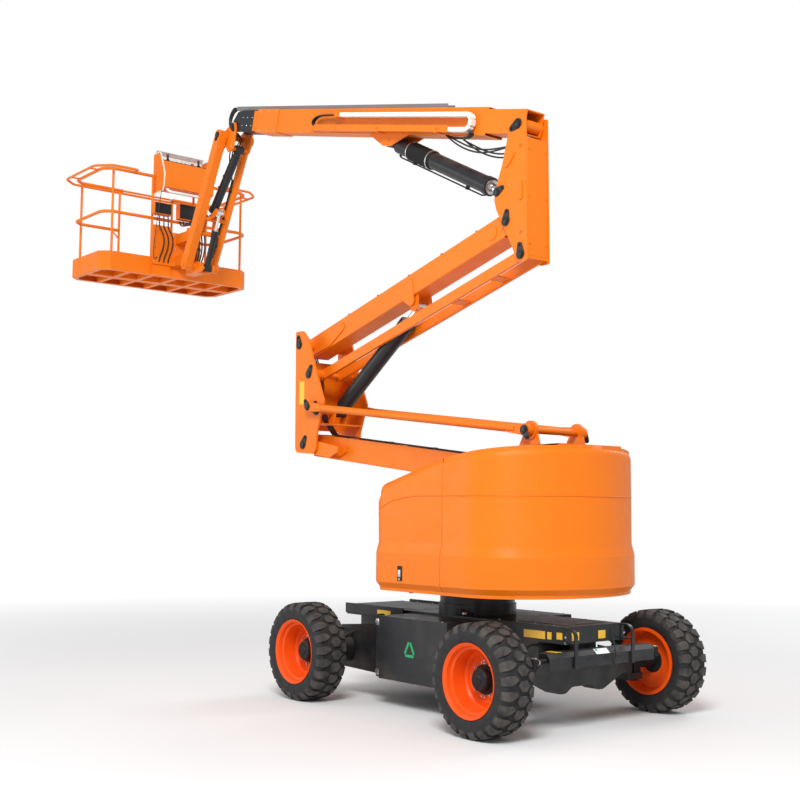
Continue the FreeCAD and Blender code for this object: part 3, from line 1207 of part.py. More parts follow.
def nodes():
    """Every node's name with its solid."""
    made = {}
    shell = hood_shell()
    for end, x in (("drive", DRIVE_X), ("steer", STEER_X)):
        for name, side in (("near", -1), ("far", 1)):
            made["tyre_%s_%s" % (end, name)] = tyre(x, side)
            made["rim_%s_%s" % (end, name)] = group([rim(x, side), hub(x, side)])
    for name, side in (("near", -1), ("far", 1)):
        made["steer_knuckle_" + name] = knuckle(side)
        made["hood_door_" + name] = door(shell, side)
    made["side_boxes"] = group(both_sides(side_box))
    made["steer_axle"] = fuse([steer_axle(), steer_cylinder()])
    made["steer_rod"] = steer_rod()
    made["drive_axle"] = drive_axle()
    made["chassis_frame"] = fuse([chassis_frame(), slew_base()])
    made["deck_hoops"] = group(hoops() + deck_bar())
    made["turntable_frame"] = fuse([turntable_frame(), slew_top()] + both_sides(channel_wall))
    made["hood_tail"] = tail_cover(shell)
    made["counterweight"] = counterweight()
    made["engine_block"] = engine_block()
    made["oil_tank"] = oil_tank()
    made["lower_arm"] = lower_arm()
    made["tie_rods"] = tie_rods()
    made["lower_knuckle"] = lower_knuckle()
    made["upper_arm"] = upper_arm()
    made["upper_link"] = upper_link()
    made["upper_knuckle"] = upper_knuckle()
    made["main_boom"] = fuse([main_boom(), cable_tray()])
    made["cable_chain"] = cable_chain()
    made["fly_tube"] = fly_boom()
    made["fly_head"] = fly_head()
    made["fly_channel"] = fly_channel()
    made["tip_knuckle"] = tip_knuckle()
    made["jib"] = jib()
    made["jib_head"] = jib_head()
    for name, base, eye, sizes, half, rod_half, pin_r in (
            ("tower", TOWER_BASE, TOWER_EYE, TOWER_RAM, 56, 56, PIN_R),
            ("riser", RISER_BASE, RISER_EYE, RISER_RAM, 60, 60, PIN_R),
            ("boom", LIFT_EYE, LIFT_BASE, BOOM_RAM, 78, 56, PIN_R),
            ("jib", JIB_CYL_BASE, JIB_CYL_EYE, JIB_RAM, 50, 50, PIN_R - 6),
            ("level", LEVEL_EYE, LEVEL_TOP, LEVEL_RAM, 40, 40, PIN_R - 8)):
        barrel, rod = ram(base, eye, sizes, half, rod_half, pin_r)
        made[name + "_cylinder_barrel"] = barrel
        made[name + "_cylinder_rod"] = rod
    made["platform_mount"] = platform_mount()
    made["platform_floor"] = platform_floor()
    made["platform_rails"] = group([platform_rails(), platform_guard()])
    made["platform_gate_bar"] = gate_bar()
    made["control_console"] = group([console()] + small_boxes())
    made["console_cover"] = visor()
    return made


os.makedirs("parts", exist_ok=True)
for name, shape in nodes().items():
    moved = shape.copy()
    moved.translate(V(-CENTRE_X, 0, 0))
    moved.exportStep("parts/%s.step" % name)
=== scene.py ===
"""Finishes an articulating boom lift round its fixed solids: paint, tyres, hoses, plates and fastenings."""
import json
import math
from contextlib import contextmanager

import bmesh
import bpy
from bpy.props import FloatProperty, FloatVectorProperty, IntProperty, PointerProperty
from mathutils import Matrix, Vector


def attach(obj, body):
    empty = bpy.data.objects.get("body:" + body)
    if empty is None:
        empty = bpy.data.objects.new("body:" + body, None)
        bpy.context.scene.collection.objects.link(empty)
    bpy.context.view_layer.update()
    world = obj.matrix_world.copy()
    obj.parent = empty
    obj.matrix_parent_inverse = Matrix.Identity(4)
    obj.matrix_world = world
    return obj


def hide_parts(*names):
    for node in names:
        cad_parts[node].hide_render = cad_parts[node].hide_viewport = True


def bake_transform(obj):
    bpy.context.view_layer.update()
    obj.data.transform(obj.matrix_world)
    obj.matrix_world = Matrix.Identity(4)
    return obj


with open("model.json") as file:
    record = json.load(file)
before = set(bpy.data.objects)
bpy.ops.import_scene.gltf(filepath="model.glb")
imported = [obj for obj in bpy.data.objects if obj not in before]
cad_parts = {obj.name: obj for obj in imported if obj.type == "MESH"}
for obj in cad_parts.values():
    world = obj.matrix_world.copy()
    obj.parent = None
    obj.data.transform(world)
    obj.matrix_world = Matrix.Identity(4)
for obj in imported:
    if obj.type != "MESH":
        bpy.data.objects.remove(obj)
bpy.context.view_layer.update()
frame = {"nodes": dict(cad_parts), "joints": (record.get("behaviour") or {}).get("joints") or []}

bl_info = {
    "name": "Boom lift finish",
    "version": (1, 0, 0),
    "blender": (4, 5, 0),
    "location": "View3D > Sidebar > Boom lift",
    "description": "Dresses the articulating boom lift in its paint, tyres, hoses, plates and fastenings",
    "category": "Object",
}

NODES = frame["nodes"]
JOINTS = {joint["name"]: joint for joint in frame["joints"]}


def pin(joint):
    """Place of a hinge, as the frame gives it."""
    return Vector(JOINTS[joint]["pos_m"])


def along(joint):
    """Direction of a slide, as the frame gives it."""
    return Vector(JOINTS[joint]["axis"])


SLEW = pin("turntable_slew")
WHEELS = ("drive_near", "drive_far", "steer_near", "steer_far")
TYRE_R = pin("wheel_drive_near_spin").z
DECK_Z = SLEW.z

BOTH = (-1, 1)
NEAR_FAR = ((-1, "near"), (1, "far"))
UP = (0, 0, 1)

# Place of the photograph's camera from the slewing axis, its turn and its lens
CAMERA_PLACE = (7.5989, -7.0574, 1.6567)
CAMERA_YAW, CAMERA_PITCH, CAMERA_ROLL = 0.8877, 0.0912, 0.0069
CAMERA_LENS, CAMERA_SENSOR = 53.645, 36.0

# Lamps: name, place, power and width; they aim at the middle of the machine
LAMPS = (("key", (10.5, -9.0, 11.5), 2100, 5.0), ("fill", (-7.0, -10.0, 5.0), 340, 7.0),
         ("back", (2.0, 11.0, 9.0), 500, 6.0))
LAMP_AIM = Vector((-1.5, 0, 1.8))
SKY_COLOUR, SKY_STRENGTH = (0.97, 0.985, 1.0, 1), 0.50
FLOOR_HALF = 60.0
FLOOR_FADE = (5.0, 13.0)

# Colours, linear
ORANGE = (0.82, 0.178, 0.003)
RIM_ORANGE = (0.84, 0.085, 0.003)
BLACK = (0.016, 0.017, 0.019)
CAST_BLACK = (0.010, 0.010, 0.011)
CLOTH = (0.011, 0.011, 0.012)
HOSE = (0.014, 0.014, 0.015)
RUBBER = (0.016, 0.016, 0.018)
GREY = (0.20, 0.19, 0.19)
DUST = (0.30, 0.26, 0.21)
DRY_MUD = (0.20, 0.175, 0.15)
WHITE = (0.80, 0.79, 0.76)
CARD = (0.78, 0.80, 0.80)
LINKS = (0.86, 0.83, 0.77)
YELLOW = (0.85, 0.50, 0.02)
WORN_YELLOW = (0.45, 0.26, 0.02)
GREEN = (0.01, 0.36, 0.12)
TEAL = (0.03, 0.36, 0.33)
RED = (0.60, 0.015, 0.010)
ZINC = (0.62, 0.62, 0.60)
TARNISH = (0.30, 0.27, 0.22)
CHROME = (0.78, 0.78, 0.80)
FLOOR_GREY = (0.80, 0.80, 0.80)
FLOOR_CLOUD = (0.70, 0.70, 0.69)


class LiftSettings(bpy.types.PropertyGroup):
    paint: FloatVectorProperty(name="Paint", description="Colour of the arms, hood and platform",
                               default=ORANGE, subtype="COLOR", min=0, max=1)
    chassis: FloatVectorProperty(name="Chassis", description="Colour of the frame and cylinders",
                                 default=BLACK, subtype="COLOR", min=0, max=1)
    label: FloatVectorProperty(name="Label", description="Colour of the blank warning plates",
                               default=YELLOW, subtype="COLOR", min=0, max=1)
    lug_count: IntProperty(name="Tread pitches", description="Lug rows round a tyre", default=24, min=8, max=40)
    lug_height: FloatProperty(name="Lug height", description="Depth of the tread grooves",
                              default=0.021, unit="LENGTH")
    stud_count: IntProperty(name="Wheel studs", description="Studs round a wheel's hub", default=9, min=4, max=16)
    link_pitch: FloatProperty(name="Chain pitch", description="Length of one link of the cable chain",
                              default=0.055, unit="LENGTH")


def settings():
    return bpy.context.scene.boom_lift


# Materials

MATERIALS = {}
COAT_ROUGHNESS = 0.12


class Finish:
    """A node material under construction, read in the object's own coordinates."""

    def __init__(self, name, colour, roughness, metallic=0.0, coat=0.0, specular=0.5):
        self.material = bpy.data.materials.new(name)
        self.material.use_nodes = True
        self.tree = self.material.node_tree
        self.shader = self.tree.nodes["Principled BSDF"]
        self.colour = (*colour, 1)
        for socket, value in (("Base Color", self.colour), ("Roughness", roughness), ("Metallic", metallic),
                              ("Coat Weight", coat), ("Coat Roughness", COAT_ROUGHNESS),
                              ("Specular IOR Level", specular)):
            self.shader.inputs[socket].default_value = value
        self.place = self.tree.nodes.new("ShaderNodeTexCoord").outputs["Object"]
        MATERIALS[name] = self.material

    def feed(self, socket, value):
        """Links a socket to another node's output, or sets it to a constant."""
        if isinstance(value, bpy.types.NodeSocket):
            self.tree.links.new(value, socket)
        else:
            socket.default_value = value

    def node(self, kind, feeds=None, **values):
        made = self.tree.nodes.new(kind)
        for key, value in values.items():
            setattr(made, key, value)
        for key, value in (feeds or {}).items():
            self.feed(made.inputs[key], value)
        return made

    def noise(self, scale, detail, stretch=(1, 1, 1)):
        mapping = self.node("ShaderNodeMapping", {"Scale": stretch, "Vector": self.place})
        return self.node("ShaderNodeTexNoise", {"Scale": scale, "Detail": detail,
                                                "Vector": mapping.outputs["Vector"]}).outputs["Fac"]

    def range(self, value, low, high, to_low=0.0, to_high=1.0):
        return self.node("ShaderNodeMapRange", {"Value": value, "From Min": low, "From Max": high,
                                                "To Min": to_low, "To Max": to_high}).outputs["Result"]

    def times(self, a, b):
        return self.node("ShaderNodeMath", {0: a, 1: b}, operation="MULTIPLY").outputs["Value"]

    def height(self):
        return self.node("ShaderNodeSeparateXYZ", {"Vector": self.place}).outputs["Z"]

    def upward(self):
        """How far the surface faces up, 0 to 1."""
        normal = self.node("ShaderNodeNewGeometry").outputs["Normal"]
        return self.range(self.node("ShaderNodeSeparateXYZ", {"Vector": normal}).outputs["Z"], 0.2, 0.95)

    def attribute(self, name):
        return self.node("ShaderNodeAttribute", attribute_name=name).outputs["Fac"]

    def tint(self, factor, colour):
        """Mixes a colour over what the surface has so far."""
        made = self.node("ShaderNodeMix", {0: factor}, data_type="RGBA")
        under, over = (socket for socket in made.inputs if socket.type == "RGBA")
        self.feed(under, self.colour)
        self.feed(over, (*colour, 1))
        self.colour = next(socket for socket in made.outputs if socket.type == "RGBA")
        self.feed(self.shader.inputs["Base Color"], self.colour)

    def stain(self, scale, detail, low, high, most, colour=DUST):
        """Tints the patches where a noise lies over a threshold."""
        self.tint(self.range(self.noise(scale, detail), low, high, 0.0, most), colour)

    def roughen(self, value, low, high):
        self.feed(self.shader.inputs["Roughness"], self.range(value, 0.3, 0.7, low, high))

    def bump(self, value, strength, distance):
        made = self.node("ShaderNodeBump", {"Strength": strength, "Distance": distance, "Height": value})
        self.feed(self.shader.inputs["Normal"], made.outputs["Normal"])

    def fade(self, centre, start, end):
        """Turns to plain white with the distance from a point of the floor."""
        away = self.node("ShaderNodeVectorMath", {0: self.place, 1: (centre.x, centre.y, 0)}, operation="DISTANCE")
        mixed = self.node("ShaderNodeMixShader", {0: self.range(away.outputs["Value"], start, end),
                                                  1: self.shader.outputs[0],
                                                  2: self.node("ShaderNodeEmission").outputs[0]})
        self.feed(self.tree.nodes["Material Output"].inputs["Surface"], mixed.outputs[0])


def sprayed(name, colour, roughness, coat, dust):
    """Sprayed paint: faint cloudiness, orange peel, and dust that settles on what faces up."""
    made = Finish(name, colour, roughness, coat=coat, specular=0.3)
    made.stain(1.6, 3, 0.35, 0.75, 0.18, tuple(c * 0.72 for c in colour))
    grain = made.noise(9.0, 6)
    made.tint(made.times(made.upward(), made.range(grain, 0.35, 0.8, 0.0, dust)), DUST)
    made.roughen(grain, roughness - 0.05, roughness + 0.12)
    made.bump(made.noise(220.0, 2), 0.04, 0.001)
    return made


def make_materials():
    paint, chassis, plates = (tuple(colour) for colour in (settings().paint, settings().chassis, settings().label))
    sprayed("orange_paint", paint, 0.42, 0.0, 0.02)
    sprayed("rim_paint", RIM_ORANGE, 0.40, 0.0, 0.06)
    sprayed("grey_paint", GREY, 0.45, 0.1, 0.25)
    black = sprayed("black_paint", chassis, 0.38, 0.10, 0.16)
    low = black.range(black.height(), 0.2, 0.9, 0.12, 0.0)
    black.tint(black.times(low, black.range(black.noise(5.0, 8), 0.45, 0.7)), DUST)
    cast = sprayed("cast_metal", CAST_BLACK, 0.55, 0.0, 0.35)
    cast.bump(cast.noise(90.0, 5), 0.25, 0.002)
    plastic = Finish("white_plastic", WHITE, 0.5)
    plastic.stain(7.0, 6, 0.45, 0.8, 0.35)
    plastic.bump(plastic.noise(300.0, 2), 0.05, 0.001)
    Finish("chain_plastic", LINKS, 0.55).stain(16.0, 6, 0.5, 0.85, 0.3)
    button = Finish("red_button", RED, 0.35, coat=0.3)
    button.roughen(button.noise(60.0, 3), 0.3, 0.45)
    sleeve = Finish("sleeve_cloth", CLOTH, 0.85, specular=0.3)
    sleeve.bump(sleeve.noise(60.0, 4, (1, 1, 3)), 0.6, 0.006)
    steel = Finish("chrome_rod", CHROME, 0.12, metallic=1.0)
    steel.roughen(steel.noise(30.0, 5, (1, 1, 8)), 0.08, 0.2)
    zinc = Finish("zinc", ZINC, 0.32, metallic=1.0)
    zinc.roughen(zinc.noise(60.0, 4), 0.25, 0.5)
    zinc.stain(25.0, 6, 0.5, 0.8, 0.5, TARNISH)
    Finish("yellow_label", plates, 0.42, coat=0.2).stain(40.0, 6, 0.5, 0.9, 0.3, WORN_YELLOW)
    Finish("white_label", CARD, 0.4, coat=0.2).stain(40.0, 6, 0.5, 0.9, 0.25)
    Finish("green_mark", GREEN, 0.5).stain(50.0, 6, 0.5, 0.9, 0.3, BLACK)
    Finish("teal_band", TEAL, 0.5).stain(50.0, 6, 0.5, 0.9, 0.3, BLACK)
    rubber = Finish("tyre_rubber", RUBBER, 0.72, specular=0.35)
    worn = rubber.range(rubber.noise(14.0, 8), 0.3, 0.72, 0.05, 0.38)
    rubber.tint(rubber.times(rubber.attribute("dust"), worn), DRY_MUD)
    rubber.roughen(rubber.noise(20.0, 5), 0.6, 0.85)
    rubber.bump(rubber.noise(160.0, 6), 0.35, 0.0015)
    hose = Finish("hose_rubber", HOSE, 0.42)
    hose.roughen(hose.noise(40.0, 4), 0.35, 0.55)
    hose.bump(hose.noise(400.0, 2), 0.1, 0.0006)


# Shapes


@contextmanager
def piece(name, material, body, smooth=35.0, slot=None, replaces=None, blend=None):
    """A mesh to fill, which then becomes a piece that moves with a body, or stays where it is made when it has none.
    """
    bm = bmesh.new()
    yield bm
    mesh = bpy.data.meshes.new(name)
    bm.to_mesh(mesh)
    bm.free()
    mesh.shade_smooth()
    mesh.set_sharp_from_angle(angle=math.radians(smooth))
    mesh.materials.append(MATERIALS[material])
    made = bpy.data.objects.new(name, mesh)
    bpy.context.scene.collection.objects.link(made)
    if body:
        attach(made, body)
    if replaces:
        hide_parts(replaces)
    if blend:
        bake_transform(made)


def frame_from(origin, ahead, up=UP):
    """Placement whose X runs ahead and whose Z leans to the upper side."""
    x = Vector(ahead).normalized()
    y = Vector(up).cross(x).normalized()
    turn = Matrix((x, y, x.cross(y))).transposed().to_4x4()
    return Matrix.Translation(Vector(origin)) @ turn


def block(bm, low, high, round_by=0.0, steps=1, place=None):
    """Box between two opposite corners, its edges softened, in a placement if one is given."""
    low, high = (Vector([pick(pair) for pair in zip(low, high)]) for pick in (min, max))
    made = bmesh.ops.create_cube(bm, size=1.0)["verts"]
    bmesh.ops.scale(bm, verts=made, vec=high - low)
    bmesh.ops.translate(bm, verts=made, vec=(low + high) / 2)
    if round_by:
        edges = {e for v in made for e in v.link_edges}
        out = bmesh.ops.bevel(bm, geom=list(edges), offset=round_by, offset_type="OFFSET", affect="EDGES",
                              segments=steps, profile=0.5, material=-1)
        made = list({v for f in out["faces"] for v in f.verts} | {v for v in made if v.is_valid})
    if place is not None:
        bmesh.ops.transform(bm, matrix=place, verts=made)


def rod(bm, start, end, radius, sides=16, round_by=0.0, end_radius=None):
    """Round bar between two points."""
    start, end = Vector(start), Vector(end)
    axis = end - start
    place = Matrix.Translation((start + end) / 2) @ axis.to_track_quat("Z", "Y").to_matrix().to_4x4()
    made = bmesh.ops.create_cone(bm, cap_ends=True, segments=sides, radius1=radius,
                                 radius2=radius if end_radius is None else end_radius,
                                 depth=axis.length, matrix=place)["verts"]
    if round_by:
        edges = {e for v in made for f in v.link_faces if len(f.verts) == sides for e in f.edges}
        bmesh.ops.bevel(bm, geom=list(edges), offset=round_by, offset_type="OFFSET", affect="EDGES",
                        segments=2, profile=0.5, material=-1)


def stub(bm, foot, reach, radius, sides=16, round_by=0.0):
    """Round bar from its foot along an offset."""
    rod(bm, foot, Vector(foot) + Vector(reach), radius, sides, round_by)


def bolt(bm, place, out, size):
    """Hexagon head on a washer, standing out of a surface."""
    place, out = Vector(place), Vector(out).normalized()
    rod(bm, place, place + out * size * 0.14, size * 0.95, 16)
    rod(bm, place + out * size * 0.14, place + out * size * 0.75, size * 0.62, 6, size * 0.06)


def turned(bm, profile, centre, steps, axis=(0, 1, 0)):
    """Ring or dish about an axis; the profile's points are (distance along the axis, radius)."""
    centre, axis = Vector(centre), Vector(axis).normalized()
    out = axis.orthogonal().normalized()
    verts = [bm.verts.new(centre + axis * a + out * r) for a, r in profile]
    edges = [bm.edges.new(pair) for pair in zip(verts, verts[1:])]
    if profile[0][1] > 1e-6:
        edges.append(bm.edges.new((verts[-1], verts[0])))
    bmesh.ops.spin(bm, geom=verts + edges, cent=centre, axis=axis, angle=math.tau, steps=steps,
                   use_merge=True, use_duplicate=False)
    bmesh.ops.remove_doubles(bm, verts=bm.verts[:], dist=1e-6)
    bmesh.ops.recalc_face_normals(bm, faces=bm.faces[:])


def sweep(bm, points, radius, sides=10, smooth=True):
    """Hose or bar along a line: smooth through few points, or straight from point to point."""
    curve = bpy.data.curves.new("line", "CURVE")
    curve.dimensions = "3D"
    curve.bevel_depth = radius
    curve.bevel_resolution = max(sides // 4, 1)
    curve.use_fill_caps = True
    curve.resolution_u = 8
    line = curve.splines.new("NURBS" if smooth else "POLY")
    line.points.add(len(points) - 1)
    for point, place in zip(line.points, points):
        point.co = (*place, 1)
    if smooth:
        line.order_u = 3
        line.use_endpoint_u = True
    drawn = bpy.data.objects.new("line", curve)
    bpy.context.scene.collection.objects.link(drawn)
    mesh = bpy.data.meshes.new_from_object(drawn.evaluated_get(bpy.context.evaluated_depsgraph_get()))
    bm.from_mesh(mesh)
    bpy.data.objects.remove(drawn)
    bpy.data.curves.remove(curve)
    bpy.data.meshes.remove(mesh)


def bent(points, bend, steps=6):
    """The same line with its corners rounded."""
    points = [Vector(p) for p in points]
    out = [points[0]]
    for before, here, after in zip(points, points[1:], points[2:]):
        back, ahead = before - here, after - here
        turn = math.pi - back.angle(ahead)
        cut = min(bend * math.tan(turn / 2), back.length * 0.49, ahead.length * 0.49)
        start, end = here + back.normalized() * cut, here + ahead.normalized() * cut
        for k in range(steps + 1):
            u = k / steps
            out.append(start * (1 - u) ** 2 + here * 2 * u * (1 - u) + end * u ** 2)
    return out + [points[-1]]


def mirrored(points, side):
    return [(x, side * y, z) for x, y, z in points]


def plate(bm, discs, y0, y1, sides=20):
    """Flat plate round a few discs (x, z, radius), between two values of y."""
    verts = [bm.verts.new((x + r * math.cos(math.tau * i / sides), y, z + r * math.sin(math.tau * i / sides)))
             for x, z, r in discs for i in range(sides) for y in sorted((y0, y1))]
    made = bmesh.ops.convex_hull(bm, input=verts)
    spare = {g for g in made["geom_interior"] + made["geom_unused"] if isinstance(g, bmesh.types.BMVert)}
    bmesh.ops.delete(bm, geom=[v for v in spare if v.is_valid], context="VERTS")
    kept = [v for v in verts if v.is_valid]
    bmesh.ops.dissolve_limit(bm, angle_limit=0.01, verts=kept, edges=list({e for v in kept for e in v.link_edges}))


def label(bm, centre, out, wide, tall, up=UP):
    """Thin blank plate on a surface; its width runs level."""
    out = Vector(out).normalized()
    up = Vector((1, 0, 0)) if abs(out.z) > 0.9 else (Vector(up) - out * out.dot(Vector(up))).normalized()
    place = Matrix.Translation(Vector(centre)) @ Matrix((up.cross(out), up, out)).transposed().to_4x4()
    block(bm, (-wide / 2, -tall / 2, -0.0005), (wide / 2, tall / 2, 0.0015), 0.0006, place=place)


def keeper(bm, place, y, side, angle, size):
    """Pin's end with the teardrop plate and bolt that hold it."""
    a = math.radians(angle)
    x, z = place.x + 0.078 * size * math.cos(a), place.z + 0.078 * size * math.sin(a)
    face = y + side * 0.010
    plate(bm, [(place.x, place.z, 0.044 * size), (x, z, 0.024 * size)], y, face)
    stub(bm, (place.x, y, place.z), (0, side * 0.019, 0), max(0.029, 0.031 * size), 24, 0.002)
    bolt(bm, (x, face, z), (0, side, 0), 0.014)


def read_off(rows, x):
    """Straight-line reading of a short table."""
    for (x0, y0), (x1, y1) in zip(rows, rows[1:]):
        if x <= x1:
            return y0 + (y1 - y0) * max(x - x0, 0) / (x1 - x0)
    return rows[-1][1]


class Member:
    """Line of an arm from its pin: s runs along it, n to its upper side."""

    def __init__(self, start, ahead):
        self.start = start
        self.ahead = ahead.normalized()
        self.upper = Vector((-self.ahead.z, 0, self.ahead.x)) * (1 if self.ahead.x > 0 else -1)

    def at(self, s, n=0.0, y=0.0):
        return self.start + self.ahead * s + self.upper * n + Vector((0, y, 0))

    def place(self, s=0.0, n=0.0, y=0.0):
        return frame_from(self.at(s, n, y), self.ahead, self.upper)


def ram_line(name):
    return Member(pin(f"{name}_cylinder_hinge"), along(f"{name}_cylinder_slide"))


LOWER_ARM = Member(pin("lower_arm_hinge"), pin("lower_knuckle_hinge") - pin("lower_arm_hinge"))
UPPER_ARM = Member(pin("upper_arm_hinge"), pin("upper_knuckle_hinge") - pin("upper_arm_hinge"))
BOOM = Member(pin("main_boom_hinge"), along("fly_slide"))
JIB = Member(pin("jib_hinge"), pin("jib_head_hinge") - pin("jib_hinge"))
KNUCKLE_LOW = pin("lower_knuckle_hinge")
KNUCKLE_HIGH = pin("upper_knuckle_hinge")
TIP = pin("tip_knuckle_hinge")


# Stage

def make_floor():
    bm = bmesh.new()
    bmesh.ops.create_grid(bm, x_segments=1, y_segments=1, size=FLOOR_HALF)
    mesh = bpy.data.meshes.new("floor")
    bm.to_mesh(mesh)
    bm.free()
    floor = bpy.data.objects.new("floor", mesh)
    bpy.context.scene.collection.objects.link(floor)
    finish = Finish("floor_grey", FLOOR_GREY, 0.85, specular=0.2)
    finish.stain(1.2, 5, 0.3, 0.8, 0.08, FLOOR_CLOUD)
    finish.fade(SLEW, *FLOOR_FADE)
    mesh.materials.append(finish.material)


def make_sky():
    """Plain white to the camera, soft and weaker to everything else."""
    world = bpy.data.worlds.new("sky")
    bpy.context.scene.world = world
    world.use_nodes = True
    tree = world.node_tree
    tree.nodes.clear()
    output, path, seen, soft, mixed = (tree.nodes.new(f"ShaderNode{kind}") for kind in (
        "OutputWorld", "LightPath", "Background", "Background", "MixShader"))
    seen.inputs["Color"].default_value = (1, 1, 1, 1)
    soft.inputs["Color"].default_value = SKY_COLOUR
    soft.inputs["Strength"].default_value = SKY_STRENGTH
    tree.links.new(path.outputs["Is Camera Ray"], mixed.inputs[0])
    tree.links.new(soft.outputs[0], mixed.inputs[1])
    tree.links.new(seen.outputs[0], mixed.inputs[2])
    tree.links.new(mixed.outputs[0], output.inputs["Surface"])


def make_lamps():
    for name, place, power, size in LAMPS:
        light = bpy.data.lights.new(name, "AREA")
        light.energy = power
        light.size = size
        made = bpy.data.objects.new(name, light)
        made.location = place
        made.rotation_euler = (SLEW + LAMP_AIM - Vector(place)).to_track_quat("-Z", "Y").to_euler()
        bpy.context.scene.collection.objects.link(made)
    bpy.context.scene.view_settings.view_transform = "Standard"


def photo_camera():
    data = bpy.data.cameras.new("photo")
    data.lens = CAMERA_LENS
    data.sensor_width = CAMERA_SENSOR
    data.clip_end = 200.0
    camera = bpy.data.objects.new("photo", data)
    bpy.context.scene.collection.objects.link(camera)
    yaw, pitch, roll = CAMERA_YAW, CAMERA_PITCH, CAMERA_ROLL
    ahead = Vector((-math.sin(yaw) * math.cos(pitch), math.cos(yaw) * math.cos(pitch), math.sin(pitch)))
    level = Vector((math.cos(yaw), math.sin(yaw), 0))
    above = level.cross(ahead)
    right = level * math.cos(roll) + above * math.sin(roll)
    up = above * math.cos(roll) - level * math.sin(roll)
    turn = Matrix((right, up, -ahead)).transposed().to_4x4()
    camera.matrix_world = Matrix.Translation(Vector((SLEW.x, SLEW.y, 0)) + Vector(CAMERA_PLACE)) @ turn
    bpy.context.scene.camera = camera


# Finishes of the solids

PAINTED = {
    "black_paint": ("chassis_frame", "side_boxes", "steer_axle", "deck_hoops", "counterweight", "fly_head",
                    "engine_block", "oil_tank"),
    "cast_metal": ("drive_axle", "steer_knuckle_near", "steer_knuckle_far", "steer_rod"),
    "grey_paint": ("fly_channel",),
    "white_plastic": ("cable_chain", "console_cover"),
}
RING_TOP_Z = 0.984


def finish_of(node):
    for material, members in PAINTED.items():
        if node in members:
            return material
    if node.endswith("_cylinder_barrel"):
        return "black_paint"
    if node.endswith("_cylinder_rod"):
        return "chrome_rod"
    return "tyre_rubber" if node.startswith("tyre_") else "orange_paint"


def paint_nodes():
    """Gives each solid its finish; the turntable is black up to the top of its ring."""
    for name, node in NODES.items():
        node.data.materials.clear()
        node.data.materials.append(MATERIALS[finish_of(name)])
    turntable = NODES["turntable_frame"].data
    turntable.materials.append(MATERIALS["black_paint"])
    for face in turntable.polygons:
        if face.center.z < RING_TOP_Z:
            face.material_index = 1


# Wheels

# Half section of the carcass and line of its tread: distance from the middle, radius
CARCASS = ((0.136, 0.2625), (0.136, 0.277), (0.1415, 0.279), (0.1495, 0.296), (0.1523, 0.318), (0.1520, 0.345),
           (0.1490, 0.368), (0.1440, 0.376), (0.1180, 0.3985), (0.060, 0.4025))
CROWN = ((0.0, 0.419), (0.1100, 0.4175), (0.1250, 0.413), (0.1440, 0.391), (0.1515, 0.366), (0.1523, 0.352))

# Lugs of one pitch: across the tyre, then from and to along it as shares of the pitch
LUGS = (((-0.1523, 0.30, 0.92), (-0.1440, 0.28, 0.92), (-0.1250, 0.26, 0.92), (-0.1000, 0.24, 0.90),
         (-0.0650, 0.26, 0.80), (-0.0340, 0.46, 0.62)),
        ((-0.0300, -0.02, 0.02), (-0.0060, -0.37, 0.37), (0.0480, -0.37, 0.37), (0.0740, -0.02, 0.02)),
        ((0.0700, 0.36, 0.62), (0.0860, 0.16, 0.80), (0.1180, 0.14, 0.82), (0.1440, 0.16, 0.80),
         (0.1523, 0.18, 0.78)))
LUG_TAPER, LUG_ROOT = 0.95, 0.006
TYRE_DUST, LUG_DUST = 0.12, 1.0

RIM_SECTION = ((0.148, 0.2735), (0.143, 0.2760), (0.137, 0.2735), (0.135, 0.2620), (-0.135, 0.2620),
               (-0.137, 0.2735), (-0.146, 0.2735), (-0.148, 0.2480), (-0.110, 0.2330), (-0.060, 0.2300),
               (-0.054, 0.1000), (-0.040, 0.1000), (-0.040, 0.1500), (-0.030, 0.1640), (-0.036, 0.1980),
               (-0.020, 0.2120), (0.040, 0.2200), (0.088, 0.2260), (0.098, 0.2420), (0.130, 0.2500), (0.138, 0.2600))
HUB_SECTION = ((-0.052, 0.0), (-0.052, 0.108), (-0.020, 0.108), (-0.014, 0.102), (-0.014, 0.088), (0.030, 0.082),
               (0.040, 0.072), (0.042, 0.034), (0.048, 0.030), (0.050, 0.0))
STUD_CIRCLE, STUD_Y = 0.124, -0.040


def lug(bm, dust, rows, start, pitch, side, axle):
    """One tread block, raised from its flat outline and wrapped round the tyre."""
    low, high = ([bm.verts.new((row[0], start + row[k] * pitch, 0)) for row in rows] for k in (1, 2))
    faces = [bm.faces.new((low[i], low[i + 1], high[i + 1], high[i])) for i in range(len(rows) - 1)]
    raised = bmesh.ops.extrude_face_region(bm, geom=faces, use_keep_orig=True)["geom"]
    tops = [g for g in raised if isinstance(g, bmesh.types.BMVert)]
    bmesh.ops.delete(bm, geom=faces, context="FACES_ONLY")
    middle = sum((v.co for v in tops), Vector()) / len(tops)
    for v in tops:
        v.co = middle + (v.co - middle) * LUG_TAPER
        v.co.z = 1.0
        v[dust] = LUG_DUST
    for v in low + high + tops:
        radius = read_off(CROWN, abs(v.co.x))
        if v.co.z < 0.5:
            radius -= settings().lug_height + LUG_ROOT
        angle = v.co.y / TYRE_R
        v.co = axle + Vector((radius * math.sin(angle), side * v.co.x, radius * math.cos(angle)))


